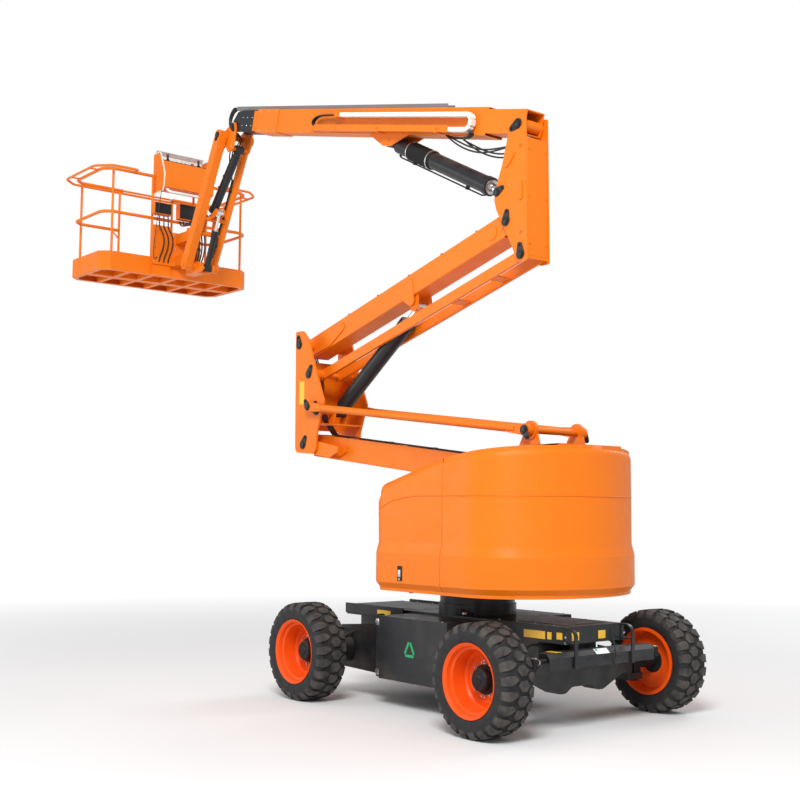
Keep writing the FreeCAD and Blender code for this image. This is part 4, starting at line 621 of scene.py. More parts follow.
def tyre(wheel, axle, side):
    count = settings().lug_count
    pitch = math.tau * TYRE_R / count
    with piece(f"tread_{wheel}", "tyre_rubber", f"wheel_{wheel}", smooth=28, slot="tyre_rubber",
               replaces=f"tyre_{wheel}") as bm:
        turned(bm, [(-a, r) for a, r in CARCASS] + [(a, r) for a, r in reversed(CARCASS)], axle, 96)
        dust = bm.verts.layers.float.new("dust")
        for v in bm.verts:
            v[dust] = TYRE_DUST
        for i in range(count):
            for rows in LUGS:
                lug(bm, dust, rows, i * pitch, pitch, -side, axle)
        bmesh.ops.recalc_face_normals(bm, faces=bm.faces[:])


def rim(wheel, axle, side):
    body, studs = f"wheel_{wheel}", settings().stud_count
    with piece(f"dish_{wheel}", "rim_paint", body, smooth=30, slot="orange_paint", replaces=f"rim_{wheel}") as bm:
        turned(bm, [(side * a, r) for a, r in RIM_SECTION], axle, 96)
    with piece(f"hub_{wheel}", "cast_metal", body, smooth=30, slot="cast_metal") as bm:
        turned(bm, [(side * a, r) for a, r in HUB_SECTION], axle, 48)
    with piece(f"studs_{wheel}", "zinc", body) as bm:
        for i in range(studs):
            angle = math.tau * (i + 0.5) / studs
            spot = axle + Vector((STUD_CIRCLE * math.cos(angle), side * STUD_Y, STUD_CIRCLE * math.sin(angle)))
            bolt(bm, spot, (0, side, 0), 0.016)
            stub(bm, spot, (0, side * 0.030, 0), 0.0065, 12, 0.001)


# Hood and turntable

HOOD_SIDE = 0.870
HOOD_LEDGE_IN = 0.022
HOOD_FRONT, HOOD_FRONT_R = -0.430, 0.190
HOOD_TAIL, HOOD_CORNER_R, HOOD_TAIL_R = 1.400, 0.550, 1.090
HOOD_ROUND, HOOD_ROUND_STEPS = 0.090, 9
HOOD_MIDDLE = SLEW + Vector((0.45, 0, 0.55))
SHOULDER_Z = SLEW.z + 0.745
DOOR_EDGE_X = SLEW.x + 0.490
SEAM = 0.505

# Height of the crease along the hood, from the slewing axis
CREASE = ((-0.400, 1.560), (-0.300, 1.660), (-0.100, 1.735), (0.150, 1.765), (1.500, 1.765))
CREASE_R = 0.0045
RING_BOLTS, RING_BOLT_CIRCLE = 24, 0.290


def shoulder(edge):
    """Outer edge where the hood's roof meets its sides."""
    middle = (edge.verts[0].co + edge.verts[1].co) / 2
    if middle.z < SHOULDER_Z or edge.calc_face_angle_signed(0.0) < 0.3:
        return False
    outward = middle - HOOD_MIDDLE
    return any(f.normal.z > 0.3 for f in edge.link_faces) and all(
        f.normal.dot(outward) > 0.05 and not (f.normal.x > 0.99 and abs(middle.x - DOOR_EDGE_X) < 0.03)
        for f in edge.link_faces)


def hood_panel(name, body):
    """A hood's solid with its shoulders rounded over."""
    with piece(f"{name}_panel", "orange_paint", body, smooth=11.5, replaces=name) as bm:
        bm.from_mesh(NODES[name].data)
        bmesh.ops.remove_doubles(bm, verts=bm.verts[:], dist=1e-5)
        bmesh.ops.dissolve_limit(bm, angle_limit=0.012, verts=bm.verts[:], edges=bm.edges[:])
        edges = [e for e in bm.edges if len(e.link_faces) == 2 and shoulder(e)]
        bmesh.ops.bevel(bm, geom=edges, offset=HOOD_ROUND, offset_type="OFFSET", affect="EDGES",
                        segments=HOOD_ROUND_STEPS, profile=0.5, clamp_overlap=False, material=-1)


def hood_line(inset, steps=10):
    """Plan of the hood's side from the front corner round the tail, inset from its widest."""
    front, front_r, half = HOOD_FRONT + inset, HOOD_FRONT_R - inset, HOOD_SIDE - inset
    corner, arch = HOOD_CORNER_R - inset, HOOD_TAIL_R - inset
    middle = HOOD_TAIL - inset - arch
    cy = half - corner
    cx = middle + math.sqrt((arch - corner) ** 2 - cy ** 2)
    lean = math.atan2(cy, cx - middle)
    line = [(front + front_r * (1 - math.sin(a)), half - front_r * (1 - math.cos(a)))
            for a in (math.pi / 2 * (1 - k / steps) for k in range(steps + 1))]
    line += [(front + front_r + (cx - front - front_r) * k / 8, half) for k in range(1, 8)]
    line += [(cx + corner * math.cos(a), cy + corner * math.sin(a))
             for a in (math.pi / 2 + (lean - math.pi / 2) * k / steps for k in range(steps + 1))]
    line += [(middle + arch * math.cos(lean * (1 - k / steps)), arch * math.sin(lean * (1 - k / steps)))
             for k in range(1, steps + 1)]
    return line


def crease(name, body, line):
    with piece(name, "orange_paint", body) as bm:
        sweep(bm, [(SLEW.x + x, y, read_off(CREASE, x)) for x, y in line], CREASE_R, 8, smooth=False)


def crease_lines():
    """Plans of the crease on the hood's ledge, in front of the seams between its panels and behind them."""
    line = hood_line(HOOD_LEDGE_IN - 0.001)
    ledge_y = HOOD_SIDE - HOOD_LEDGE_IN + 0.001
    front = [(x, y) for x, y in line if x < SEAM - 0.012] + [(SEAM - 0.012, ledge_y)]
    back = [(SEAM + 0.010, ledge_y)] + [(x, y) for x, y in line if x > SEAM + 0.010]
    return front, back


def door_latch(side, far):
    x, y = SLEW.x + 0.010, side * HOOD_SIDE
    # Black cup of the door's latch; its darkness also paints the shade inside the latch's recess.
    with piece(f"door_{far}_latch_cup_and_shade", "cast_metal", f"door_{far}") as bm:
        block(bm, (x - 0.030, y, 1.075), (x + 0.030, y + side * 0.006, 1.195), 0.0028)
    with piece(f"door_{far}_latch", "zinc", f"door_{far}") as bm:
        block(bm, (x - 0.018, y, 1.105), (x + 0.018, y + side * 0.012, 1.165), 0.004, 2)
        stub(bm, (x, y, 1.088), (0, side * 0.010, 0), 0.009, 20, 0.001)


def ring_trim():
    with piece("slew_bolts", "cast_metal", "chassis") as bm:
        for i in range(RING_BOLTS):
            angle = math.tau * (i + 0.5) / RING_BOLTS
            x, y = SLEW.x + RING_BOLT_CIRCLE * math.cos(angle), RING_BOLT_CIRCLE * math.sin(angle)
            stub(bm, (x, y, DECK_Z + 0.030), (0, 0, 0.057), 0.013, 6)
    with piece("turn_stop", "black_paint", "turntable") as bm:
        block(bm, (SLEW.x - 0.480, -0.420, 0.990), (SLEW.x - 0.405, -0.330, 1.045), 0.012, 3)
        stub(bm, (SLEW.x - 0.440, -0.375, 0.930), (0, 0, 0.062), 0.020, 20, 0.003)


# Chassis

# Blank yellow plates: name, middle, way they face, width and height
LABELS = (("drive_rail", (1.680, -0.3925, 0.735), (0, -1, 0), 0.190, 0.050),
          ("deck_long", (3.480, -0.3325, 0.700), (0, -1, 0), 0.230, 0.060),
          ("deck_small", (3.640, -0.3325, 0.700), (0, -1, 0), 0.045, 0.055),
          ("deck_corner", (3.745, -0.3325, 0.705), (0, -1, 0), 0.060, 0.052),
          ("end_near", (3.7985, -0.215, 0.700), (1, 0, 0), 0.082, 0.062),
          ("end_far", (3.7985, 0.085, 0.700), (1, 0, 0), 0.082, 0.062),
          ("far_rail", (1.680, 0.3925, 0.735), (0, 1, 0), 0.190, 0.050),
          ("cover_top", (3.815, -0.470, 0.6030), UP, 0.060, 0.110))
COVER_SLOPE, COVER_UP = (1, 0, 1.05), (-1, 0, 1)
MARK_CORNERS = ((2.365, 0.455), (2.500, 0.455), (2.4325, 0.580))

# Bolts that face up, on both sides: their x, y, z and size, on the side boxes and the two decks
TOP_BOLTS = (((2.10, 2.46, 2.82), 0.700, 0.757, 0.008), ((1.10, 1.32, 1.54, 1.76), 0.300, DECK_Z, 0.009),
             ((3.05, 3.25, 3.45, 3.65), 0.290, DECK_Z, 0.009))

# Hoses to the steering cylinder, knuckles and wheel motors, on the far side: radius and line
AXLE_HOSES = ((0.009, ((3.700, 0.150, 0.600), (3.760, 0.300, 0.560), (3.740, 0.480, 0.575), (3.826, 0.500, 0.541))),
              (0.011, ((3.520, 0.200, 0.600), (3.500, 0.380, 0.640), (3.560, 0.520, 0.600), (3.566, 0.600, 0.500))),
              (0.012, ((1.430, 0.330, 0.560), (1.480, 0.450, 0.590), (1.440, 0.600, 0.560), (1.430, 0.700, 0.500))),
              (0.012, ((1.280, 0.330, 0.560), (1.230, 0.450, 0.600), (1.280, 0.600, 0.570), (1.290, 0.700, 0.500))))
STRAP = ((3.905, 0.070, 0.775), (3.915, 0.075, 0.700), (3.925, 0.090, 0.610), (3.912, 0.120, 0.550),
         (3.903, 0.110, 0.500), (3.905, 0.130, 0.455))
KINGPIN = (3.596, 0.690)


def chassis_labels():
    for name, centre, out, wide, tall in LABELS:
        with piece(f"label_{name}", "yellow_label", "chassis") as bm:
            label(bm, centre, out, wide, tall)
    with piece("label_cover_plate", "white_label", "chassis") as bm:
        label(bm, (3.878, -0.010, 0.586), COVER_SLOPE, 0.150, 0.052, COVER_UP)
    with piece("label_cover_band", "teal_band", "chassis") as bm:
        label(bm, (3.8682, -0.062, 0.5955), COVER_SLOPE, 0.028, 0.022, COVER_UP)
    with piece("side_mark", "green_mark", "chassis") as bm:
        for a, b in zip(MARK_CORNERS, MARK_CORNERS[1:] + MARK_CORNERS[:1]):
            plate(bm, [(a[0] * (1 - u) + b[0] * u, a[1] * (1 - u) + b[1] * u, 0.011) for u in (0.18, 0.82)],
                  -0.7215, -0.7195, 12)


def chassis_bolts():
    with piece("chassis_bolts", "zinc", "chassis") as bm:
        for side in BOTH:
            for z in (0.660, 0.700):
                bolt(bm, (3.8065, side * 0.336, z), (1, 0, 0), 0.010)
            for z in (0.285, 0.700):
                block(bm, (1.972, side * 0.655, z - 0.028), (2.026, side * 0.714, z + 0.028), 0.006, 2)
                stub(bm, (1.950, side * 0.690, z), (0.026, 0, 0), 0.008, 12)
                bolt(bm, (1.974, side * 0.690, z), (-1, 0, 0), 0.013)
            for places, y, z, size in TOP_BOLTS:
                for x in places:
                    bolt(bm, (x, side * y, z), UP, size)


def deck_fittings():
    with piece("deck_hatches", "black_paint", "chassis") as bm:
        block(bm, (1.080, -0.250, 0.770), (1.980, 0.250, 0.778), 0.003)
        block(bm, (2.980, -0.230, 0.770), (3.700, 0.230, 0.778), 0.003)
    with piece("deck_lamp_base", "cast_metal", "chassis") as bm:
        stub(bm, (2.700, -0.300, DECK_Z), (0, 0, 0.025), 0.024, 24, 0.004)
        block(bm, (2.560, -0.330, DECK_Z), (2.640, -0.255, 0.830), 0.008, 2)
    with piece("deck_ball", "zinc", "chassis") as bm:
        bmesh.ops.create_uvsphere(bm, u_segments=24, v_segments=14, radius=0.021,
                                  matrix=Matrix.Translation((2.700, -0.352, 0.800)))
    with piece("front_strap", "hose_rubber", "chassis") as bm:
        for y in (-0.170, 0.010, 0.150):
            loop = [(3.893, y, 0.545), (3.8945, y, 0.535), (3.8945, y + 0.060, 0.535)]
            sweep(bm, bent(loop, 0.004), 0.004, 8, smooth=False)
        sweep(bm, STRAP, 0.006, 8)


def axle_lines():
    with piece("axle_hoses", "hose_rubber", "chassis") as bm:
        for side in BOTH:
            for radius, line in AXLE_HOSES:
                sweep(bm, mirrored(line, side), radius)
    with piece("axle_fittings", "zinc", "chassis") as bm:
        for side in BOTH:
            for x in (1.430, 1.290):
                stub(bm, (x, side * 0.700, 0.488), (0, 0, 0.038), 0.016, 6, 0.001)
            stub(bm, (3.826, side * 0.500, 0.541), (0, -side * 0.030, 0), 0.014, 6, 0.001)


def kingpin_caps(side, far):
    x, y = KINGPIN[0], side * KINGPIN[1]
    with piece(f"kingpin_cap_{far}", "cast_metal", "chassis") as bm:
        stub(bm, (x, y, 0.551), (0, 0, 0.011), 0.040, 24, 0.003)
        stub(bm, (x, y, 0.560), (0, 0, 0.014), 0.008, 12, 0.002)
        stub(bm, (x, y, 0.287), (0, 0, -0.011), 0.040, 24, 0.003)
    with piece(f"steer_end_{far}", "zinc", "steering_rod") as bm:
        stub(bm, (3.826, y, 0.567), (0, 0, 0.010), 0.022, 6, 0.002)
        stub(bm, (3.826, side * 0.640, 0.541), (0, side * 0.015, 0), 0.024, 6, 0.002)


# Riser

SEAM_R, CLIP_R = 0.001, 0.003
UPPER_HOSE_YS = (-0.072, -0.058, -0.044, 0.050, 0.066)
LOWER_HOSE_YS = (-0.030, -0.014, 0.002, 0.018, 0.034)
KNUCKLE_HOSE_YS = (-0.044, -0.022, 0.000, 0.022)
UPPER_CLIPS = (0.62, 1.10, 1.58, 2.06, 2.54)


def pin_keepers():
    """Keepers at both ends of the pins: place, half width of the joint, angle and size of the plate."""
    arm, tie, link = pin("lower_arm_hinge"), pin("tie_rods_hinge"), pin("upper_link_hinge")
    upper_arm = pin("upper_arm_hinge")
    kept = {"turntable": ((arm, 0.285, 250, 1.0), (tie, 0.344, 300, 0.9)),
            "lower_knuckle": ((KNUCKLE_LOW, 0.275, 60, 1.0), (KNUCKLE_LOW + (tie - arm), 0.342, 120, 0.85),
                              (upper_arm, 0.275, 100, 1.0), (link, 0.275, 60, 1.0),
                              (pin("riser_cylinder_hinge"), 0.275, 100, 1.0)),
            "upper_knuckle": ((KNUCKLE_HIGH, 0.135, 80, 1.0), (KNUCKLE_HIGH + (link - upper_arm), 0.135, 95, 1.0),
                              (BOOM.start, 0.135, 200, 1.0),
                              (KNUCKLE_HIGH + Vector((-0.107, 0, 0.271)), 0.135, 20, 0.9)),
            "tip_knuckle": ((TIP, 0.120, 300, 0.8),),
            "jib": ((JIB.start, 0.2275, 240, 0.75),)}
    for body, rows in kept.items():
        with piece(f"{body}_pin_keepers", "black_paint", body) as bm:
            for place, y, angle, size in rows:
                for side in BOTH:
                    keeper(bm, place, side * y, side, angle, size)


def knuckle_plates():
    with piece("knuckle_labels", "yellow_label", "lower_knuckle") as bm:
        for side in BOTH:
            block(bm, (0.130, side * 0.2745, 2.700), (0.215, side * 0.2765, 2.930), 0.0006)
    with piece("upper_knuckle_capsules", "orange_paint", "upper_knuckle") as bm:
        for side in BOTH:
            y0, y1 = side * 0.134, side * 0.147
            plate(bm, [(2.985, 4.560, 0.017), (3.060, 4.640, 0.017)], y0, y1)
            plate(bm, [(3.150, 4.380, 0.016), (3.150, 4.250, 0.016)], y0, y1)
            for z in (4.700, 3.960):
                bolt(bm, (3.150, y1, z), (0, side, 0), 0.011)
    with piece("upper_knuckle_back", "orange_paint", "upper_knuckle") as bm:
        block(bm, (3.196, -0.120, 3.760), (3.208, 0.120, 4.760), 0.004)
        for z in (3.86, 4.26, 4.66):
            for y in (-0.095, 0.095):
                bolt(bm, (3.208, y, z), (1, 0, 0), 0.011)


def arm_plates():
    """Weld seams, straps and side plates of the two arms."""
    with piece("lower_arm_seams", "orange_paint", "lower_arm") as bm:
        for s in (0.40, 1.70, 2.45):
            block(bm, (-0.020, -0.131, 0.108), (0.020, 0.131, 0.116), 0.003, place=LOWER_ARM.place(s))
        for side in BOTH:
            y = side * 0.1305
            block(bm, (0.14, y - 0.003, -0.103), (2.42, y + 0.003, -0.097), SEAM_R, place=LOWER_ARM.place())
    with piece("upper_arm_plates", "orange_paint", "upper_arm") as bm:
        for side in BOTH:
            y = side * 0.1055
            block(bm, (0.62, y - 0.002, -0.104), (2.86, y + 0.002, -0.098), SEAM_R, place=UPPER_ARM.place())
            for s, n in ((1.46, 0.045), (1.54, 0.030)):
                stub(bm, UPPER_ARM.at(s, n, side * 0.105), (0, side * 0.010, 0), 0.020, 24, 0.002)
            discs = [(*UPPER_ARM.at(s, n).xz, r)
                     for s, n, r in ((1.42, 0.030, 0.055), (1.58, -0.150, 0.050), (1.60, 0.020, 0.050))]
            plate(bm, discs, side * 0.1045, side * 0.113)


def arm_hoses():
    with piece("upper_arm_clips", "cast_metal", "upper_arm") as bm:
        for side in BOTH:
            for s in UPPER_CLIPS:
                block(bm, (-0.012, -0.022, -0.002), (0.012, 0.022, 0.020), CLIP_R,
                      place=UPPER_ARM.place(s, 0.094, side * 0.060))
    with piece("upper_arm_hoses", "hose_rubber", "upper_arm") as bm:
        for y in UPPER_HOSE_YS:
            sweep(bm, [UPPER_ARM.at(s, 0.098, y) for s in (0.10, *UPPER_CLIPS, 2.84)], 0.0062, 8)
    with piece("lower_arm_hoses", "hose_rubber", "lower_arm") as bm:
        for y in LOWER_HOSE_YS:
            sweep(bm, [LOWER_ARM.at(s, 0.118, y) for s in (0.16, 0.80, 1.60, 2.40, 2.86)], 0.0065, 8)
    with piece("lower_arm_clips", "cast_metal", "lower_arm") as bm:
        for s in (0.22, 0.80, 1.36, 2.00, 2.60):
            block(bm, (-0.014, -0.048, 0.108), (0.014, 0.052, 0.128), 0.004, place=LOWER_ARM.place(s))


def past(place, y, rows):
    """Points in one plane, each from a pin."""
    return [place + Vector((x, y, z)) for x, z in rows]


def knuckle_hoses():
    """Hoses that bend over the riser's joints, from one body to the next."""
    upper_arm = pin("upper_arm_hinge")

    def low(y):
        return [LOWER_ARM.at(2.86, 0.118, y),
                *past(KNUCKLE_LOW, y, ((0.06, 0.21), (-0.04, 0.34), (-0.085, 0.50), (-0.085, 0.70)))]

    def mid(y):
        return [*past(KNUCKLE_LOW, y, ((-0.085, 0.70),)),
                *past(upper_arm, y, ((-0.100, -0.160), (-0.120, 0.02), (-0.040, 0.130))),
                UPPER_ARM.at(0.10, 0.098, y)]

    def top(y):
        return [UPPER_ARM.at(2.80, 0.098, y),
                *past(KNUCKLE_HIGH, y, ((-0.010, 0.110), (0.090, 0.190), (0.150, 0.330), (0.150, 0.520)))]

    for name, a, b, line in (("low", "lower_arm", "lower_knuckle", low), ("mid", "lower_knuckle", "upper_arm", mid),
                             ("top", "upper_arm", "upper_knuckle", top)):
        ends = line(0.0)
        with piece(f"knuckle_hoses_{name}", "hose_rubber", None, blend=(a, b, ends[0], ends[-1])) as bm:
            for y in KNUCKLE_HOSE_YS:
                sweep(bm, line(y), 0.0075, 8)


# Boom

# Cable chain along the boom: its two ends, height of its middle and radius of its bend
CHAIN_NEAR, CHAIN_FAR, CHAIN_N, CHAIN_REACH = 0.640, 2.600, 0.004, 0.068
TRAY_Y = -0.152
CABLE_ENDS = ((2.63, -0.064), (2.74, -0.070), (2.86, -0.075), (2.98, -0.070), (3.10, -0.010), (3.02, 0.060),
              (2.84, 0.074), (2.64, 0.072))


def chain_places():
    """Places of the cable chain's links: the lower run, the bend at the rear and the upper run."""
    run, turn = CHAIN_FAR - CHAIN_NEAR, math.pi * CHAIN_REACH
    pitch = settings().link_pitch
    for i in range(int((2 * run + turn) / pitch)):
        d = (i + 0.5) * pitch
        if d < run:
            yield CHAIN_FAR - d, CHAIN_N - CHAIN_REACH, 0.0
        elif d < run + turn:
            angle = (d - run) / CHAIN_REACH
            yield CHAIN_NEAR - CHAIN_REACH * math.sin(angle), CHAIN_N - CHAIN_REACH * math.cos(angle), angle
        else:
            yield CHAIN_NEAR + d - run - turn, CHAIN_N + CHAIN_REACH, math.pi


def cable_chain():
    half = settings().link_pitch / 2
    places = [BOOM.place(s, n, TRAY_Y) @ Matrix.Rotation(angle, 4, "Y") for s, n, angle in chain_places()]
    with piece("cable_links", "chain_plastic", "main_boom", slot="white_plastic", replaces="cable_chain") as bm:
        for place in places:
            block(bm, (-half * 0.90, -0.030, -0.021), (half * 0.90, 0.030, 0.021), 0.004, place=place)
            block(bm, (-half * 1.02, -0.024, -0.016), (half * 1.02, 0.024, 0.016), place=place)
    with piece("cable_link_pins", "chain_plastic", "main_boom") as bm:
        for place in places:
            for side in BOTH:
                rod(bm, *(place @ Vector((half * 0.5, side * y, 0)) for y in (0.029, 0.0325)), 0.009, 12)
    with piece("cable_brackets", "orange_paint", "main_boom") as bm:
        for s in (1.00, 1.90):
            for y1, n1 in ((0.050, -0.094), (-0.040, -0.018)):
                block(bm, (-0.020, -0.046, -0.100), (0.020, y1, n1), 0.002, place=BOOM.place(s, 0, TRAY_Y))
            bolt(bm, BOOM.at(s, -0.060, TRAY_Y - 0.046), (0, -1, 0), 0.009)
        for n0, n1 in ((-0.092, -0.036), (0.044, 0.100)):
            block(bm, (0, -0.040, n0), (0.055, 0.048, n1), 0.006, 2, BOOM.place(CHAIN_FAR, 0, TRAY_Y))
    with piece("cable_ends", "hose_rubber", "main_boom") as bm:
        for y in (-0.134, -0.146, -0.158, -0.170):
            sweep(bm, [BOOM.at(s, n, y) for s, n in CABLE_ENDS], 0.0055, 8)


def boom_fittings():
    """Bolts of the slide pads, the pads at the boom's mouth and the weld seams."""
    with piece("boom_pad_bolts", "zinc", "main_boom") as bm:
        for s in (3.90, 4.06, 4.22):
            for side in BOTH:
                for n in (-0.080, 0.125):
                    bolt(bm, BOOM.at(s, n, side * 0.113), (0, side, 0), 0.010)
    with piece("boom_front_pads", "hose_rubber", "main_boom") as bm:
        for n0, n1 in ((-0.108, -0.092), (0.136, 0.152)):
            block(bm, (4.270, -0.090, n0), (4.287, 0.090, n1), CLIP_R, place=BOOM.place())
        for side in BOTH:
            block(bm, (4.270, side * 0.0955, -0.070), (4.287, side * 0.112, 0.110), CLIP_R, place=BOOM.place())
    with piece("boom_seams", "orange_paint", "main_boom") as bm:
        for side in BOTH:
            y = side * 0.1055
            for s in (0.46, 1.38, 2.30):
                block(bm, (s, y - 0.002, -0.098), (s + 0.90, y + 0.002, -0.093), SEAM_R, place=BOOM.place())


def boom_hoses():
    knuckle = KNUCKLE_HIGH + Vector((0.170, 0, 0.600))
    with piece("boom_root_hoses", "hose_rubber", None,
               blend=("main_boom", "upper_knuckle", BOOM.at(0.70, -0.150), knuckle)) as bm:
        for i, y in enumerate((-0.0965, -0.1135, 0.0965, 0.1135)):
            sag = 0.030 * (i % 2)
            sweep(bm, [BOOM.at(0.94, -0.105, y), BOOM.at(0.80, -0.150 - sag, y), BOOM.at(0.56, -0.215 - sag, y),
                       BOOM.at(0.34, -0.225 - sag, y), *past(KNUCKLE_HIGH, y, ((0.150, 0.640), (0.190, 0.500)))],
                  0.0078)
    with piece("boom_side_hoses", "hose_rubber", "main_boom") as bm:
        for y in (-0.130, -0.150, -0.170):
            sweep(bm, [BOOM.at(0.60, -0.064, y), BOOM.at(0.55, -0.085, y + 0.01), BOOM.at(0.62, -0.125, y + 0.03),
                       BOOM.at(0.80, -0.125, -0.060), BOOM.at(0.98, -0.106, -0.040)], 0.0085)


# Cylinders

# Barrel's radius, rod's radius, length closed, end of the base's eye, and the side that carries the line
RAMS = {"tower": (0.070, 0.036, 1.120, 0.052, 1), "riser": (0.075, 0.036, 1.400, 0.052, 1),
        "boom": (0.078, 0.038, 1.600, 0.052, -1), "jib": (0.050, 0.026, 0.905, 0.046, 1),
        "level": (0.036, 0.018, 0.520, 0.044, -1)}
SLEEVE = (0.280, 0.670)
SLEEVE_PLEATS, SLEEVE_PITCH = 13, 0.030
SLEEVE_BANDS = (0.310, 0.630)


def cylinder_trim(name, radius, rod_r, closed, knob, side):
    """Gland at the barrel's mouth, and the steel line that runs along it in its clips."""
    ram, barrel = ram_line(name), f"{name}_barrel"
    start, mouth, lift = knob + 0.045, closed - knob - 0.018, radius + 0.012
    ends = (start + 0.05, mouth - 0.05)
    with piece(f"{name}_cylinder_gland", "zinc", barrel) as bm:
        turned(bm, [(0.0, rod_r + 0.0015), (0.0, radius * 0.86), (0.010, radius * 0.84), (0.014, rod_r + 0.006),
                    (0.014, rod_r + 0.0015)], ram.at(mouth), 40, ram.ahead)
    with piece(f"{name}_cylinder_line", "black_paint", barrel) as bm:
        line = [(ends[0], radius * 0.9), (ends[0], lift + 0.008), (start + 0.09, lift + 0.010),
                (mouth - 0.11, lift + 0.010), (mouth - 0.07, lift + 0.010), (ends[1], radius * 0.9)]
        sweep(bm, bent([ram.at(s, side * n) for s, n in line], 0.03), 0.0075, smooth=False)
        for s in (start + 0.30, mouth - 0.30):
            block(bm, (s - 0.012, -0.020, side * (radius - 0.006)), (s + 0.012, 0.020, side * (lift + 0.021)), 0.004,
                  place=ram.place())
        for s in ends:
            rod(bm, ram.at(s, side * (radius - 0.004)), ram.at(s, side * (radius + 0.016)), 0.014, 6, 0.001)


def boom_sleeve():
    """Pleated cloth round the boom cylinder's barrel, held by two bands."""
    ram = ram_line("boom")
    first, last = SLEEVE
    with piece("boom_cylinder_sleeve", "sleeve_cloth", "boom_barrel") as bm:
        pleats = [(first + 0.010 + SLEEVE_PITCH * k, 0.091 if k % 2 else 0.087) for k in range(SLEEVE_PLEATS)]
        turned(bm, [(first, 0.079), (first, 0.080), *pleats, (last, 0.080), (last, 0.079)], ram.at(0), 40, ram.ahead)
    with piece("boom_sleeve_bands", "zinc", "boom_barrel") as bm:
        for s in SLEEVE_BANDS:
            turned(bm, [(s, 0.0885), (s, 0.0935), (s + 0.014, 0.0935), (s + 0.014, 0.0885)], ram.at(0), 40, ram.ahead)


# Tip and jib

JIB_HOSE_Y = 0.128


def tip_hoses():
    """Hoses that leave the fly's end in a loop, pass the tip's knuckle and go on along the jib."""
    end = BOOM.at(4.86, 0.170)
    with piece("tip_hoses", "hose_rubber", None,
               blend=("fly", "tip_knuckle", end, TIP + Vector((-0.120, 0, -0.020)))) as bm:
        for i, y in enumerate((-0.036, -0.018, 0.000, 0.018, 0.034)):
            out = 0.018 * i
            sweep(bm, [*past(end, y, ((0.10, -0.025), (0, 0))),
                       *past(TIP, y, ((-0.110 - out, 0.270), (-0.215 - out, 0.170), (-0.200 - out, 0.040),
                                      (-0.120, -0.020), (-0.060, -0.090)))], 0.0075)
    with piece("jib_root_hoses", "hose_rubber", None,
               blend=("tip_knuckle", "jib", TIP + Vector((-0.090, 0, -0.140)), JIB.at(0.20, 0.105))) as bm:
        for y in (-0.050, -0.030, 0.032, 0.052):
            sweep(bm, [TIP + Vector((-0.060, y, -0.090)), TIP + Vector((-0.120, y * 1.2, -0.190)),
                       JIB.at(0.10, 0.100, y * 1.4), JIB.at(0.28, 0.110, y * 1.8),
                       JIB.at(0.50, 0.020, math.copysign(JIB_HOSE_Y, y))], 0.0075)
    with piece("jib_hoses", "hose_rubber", "jib") as bm:
        for side in BOTH:
            for n in (-0.012, 0.008):
                sweep(bm, [JIB.at(0.48, 0.020 + n, side * JIB_HOSE_Y),
                           *(JIB.at(s, n, side * 0.125) for s in (0.60, 1.00, 1.42))], 0.007)


def jib_fittings():
    with piece("jib_clips", "cast_metal", "jib") as bm:
        for side in BOTH:
            for s in (0.62, 0.95, 1.30):
                block(bm, (s - 0.012, side * 0.116, -0.026), (s + 0.012, side * 0.136, 0.022), CLIP_R,
                      place=JIB.place())
    with piece("jib_seams", "orange_paint", "jib") as bm:
        for s in (0.20, 0.75, 1.30):
            block(bm, (s, -0.2285, 0.046), (s + 0.34, -0.2265, 0.050), 0.0008, place=JIB.place())
        for s in (0.06, 1.52):
            stub(bm, JIB.at(s, 0, -0.2275), (0, -0.002, 0), 0.045, 32)
    with piece("tip_bolts", "zinc", "fly") as bm:
        for s in (4.42, 4.52, 4.62):
            for side in BOTH:
                for n in (0.060, -0.030):
                    bolt(bm, BOOM.at(s, n, side * 0.097), (0, side, 0), 0.009)
    with piece("tip_knuckle_bolts", "zinc", "tip_knuckle") as bm:
        for side in BOTH:
            for x, z in ((-1.700, 5.900), (-1.560, 5.800), (-1.640, 5.780)):
                bolt(bm, (x, side * 0.120, z), (0, side, 0), 0.009)
    with piece("jib_head_bolts", "zinc", "jib_head") as bm:
        for side in BOTH:
            for x, z in ((-2.560, 4.575), (-2.480, 4.490), (-2.360, 4.490)):
                bolt(bm, (x, side * 0.084, z), (0, side, 0), 0.010)
        for k in range(4):
            stub(bm, ram_line("level").at(0.16 + 0.05 * k, 0, -0.0355), (0, -0.002, 0), 0.007, 12)


# Platform

ROTATOR = pin("platform_rotation")
OUTER_X, INNER_X = -3.8761, -2.9891
RAIL_Z, MID_Z, KICK_Z, FLOOR_Z = 5.7151, 5.1901, 4.4801, 4.5441
RAIL_R, POST_R, BRACE_R = 0.019, 0.015, 0.011
END_Y, CORNER, GATE_Y = 0.99599, 0.0958, 0.375
POSTS = ((OUTER_X, (-0.890, -GATE_Y, GATE_Y, 0.890)), (INNER_X, (-0.890, -0.366, 0.200, 0.890)))

# Guard bar round the top rail: its outer and inner x, half length and the cut of its corners
GUARD_OUT, GUARD_IN, GUARD_Y, GUARD_CUT = -3.9990, -2.8661, 1.119, 0.170

# Floor mesh: number of bars, first place and pitch; the bars shorten where the floor's corners are cut
LONG_BARS, LONG_Y, LONG_PITCH = 46, -0.99, 0.044
CROSS_BARS, CROSS_X, CROSS_PITCH = 20, -3.870, 0.046


def bent_loop(half, z, bend):
    """Line through half of a symmetrical plan and its mirror image, its corners rounded."""
    return bent([(x, y, z) for x, y in half] + [(x, -y, z) for x, y in reversed(half)], bend)


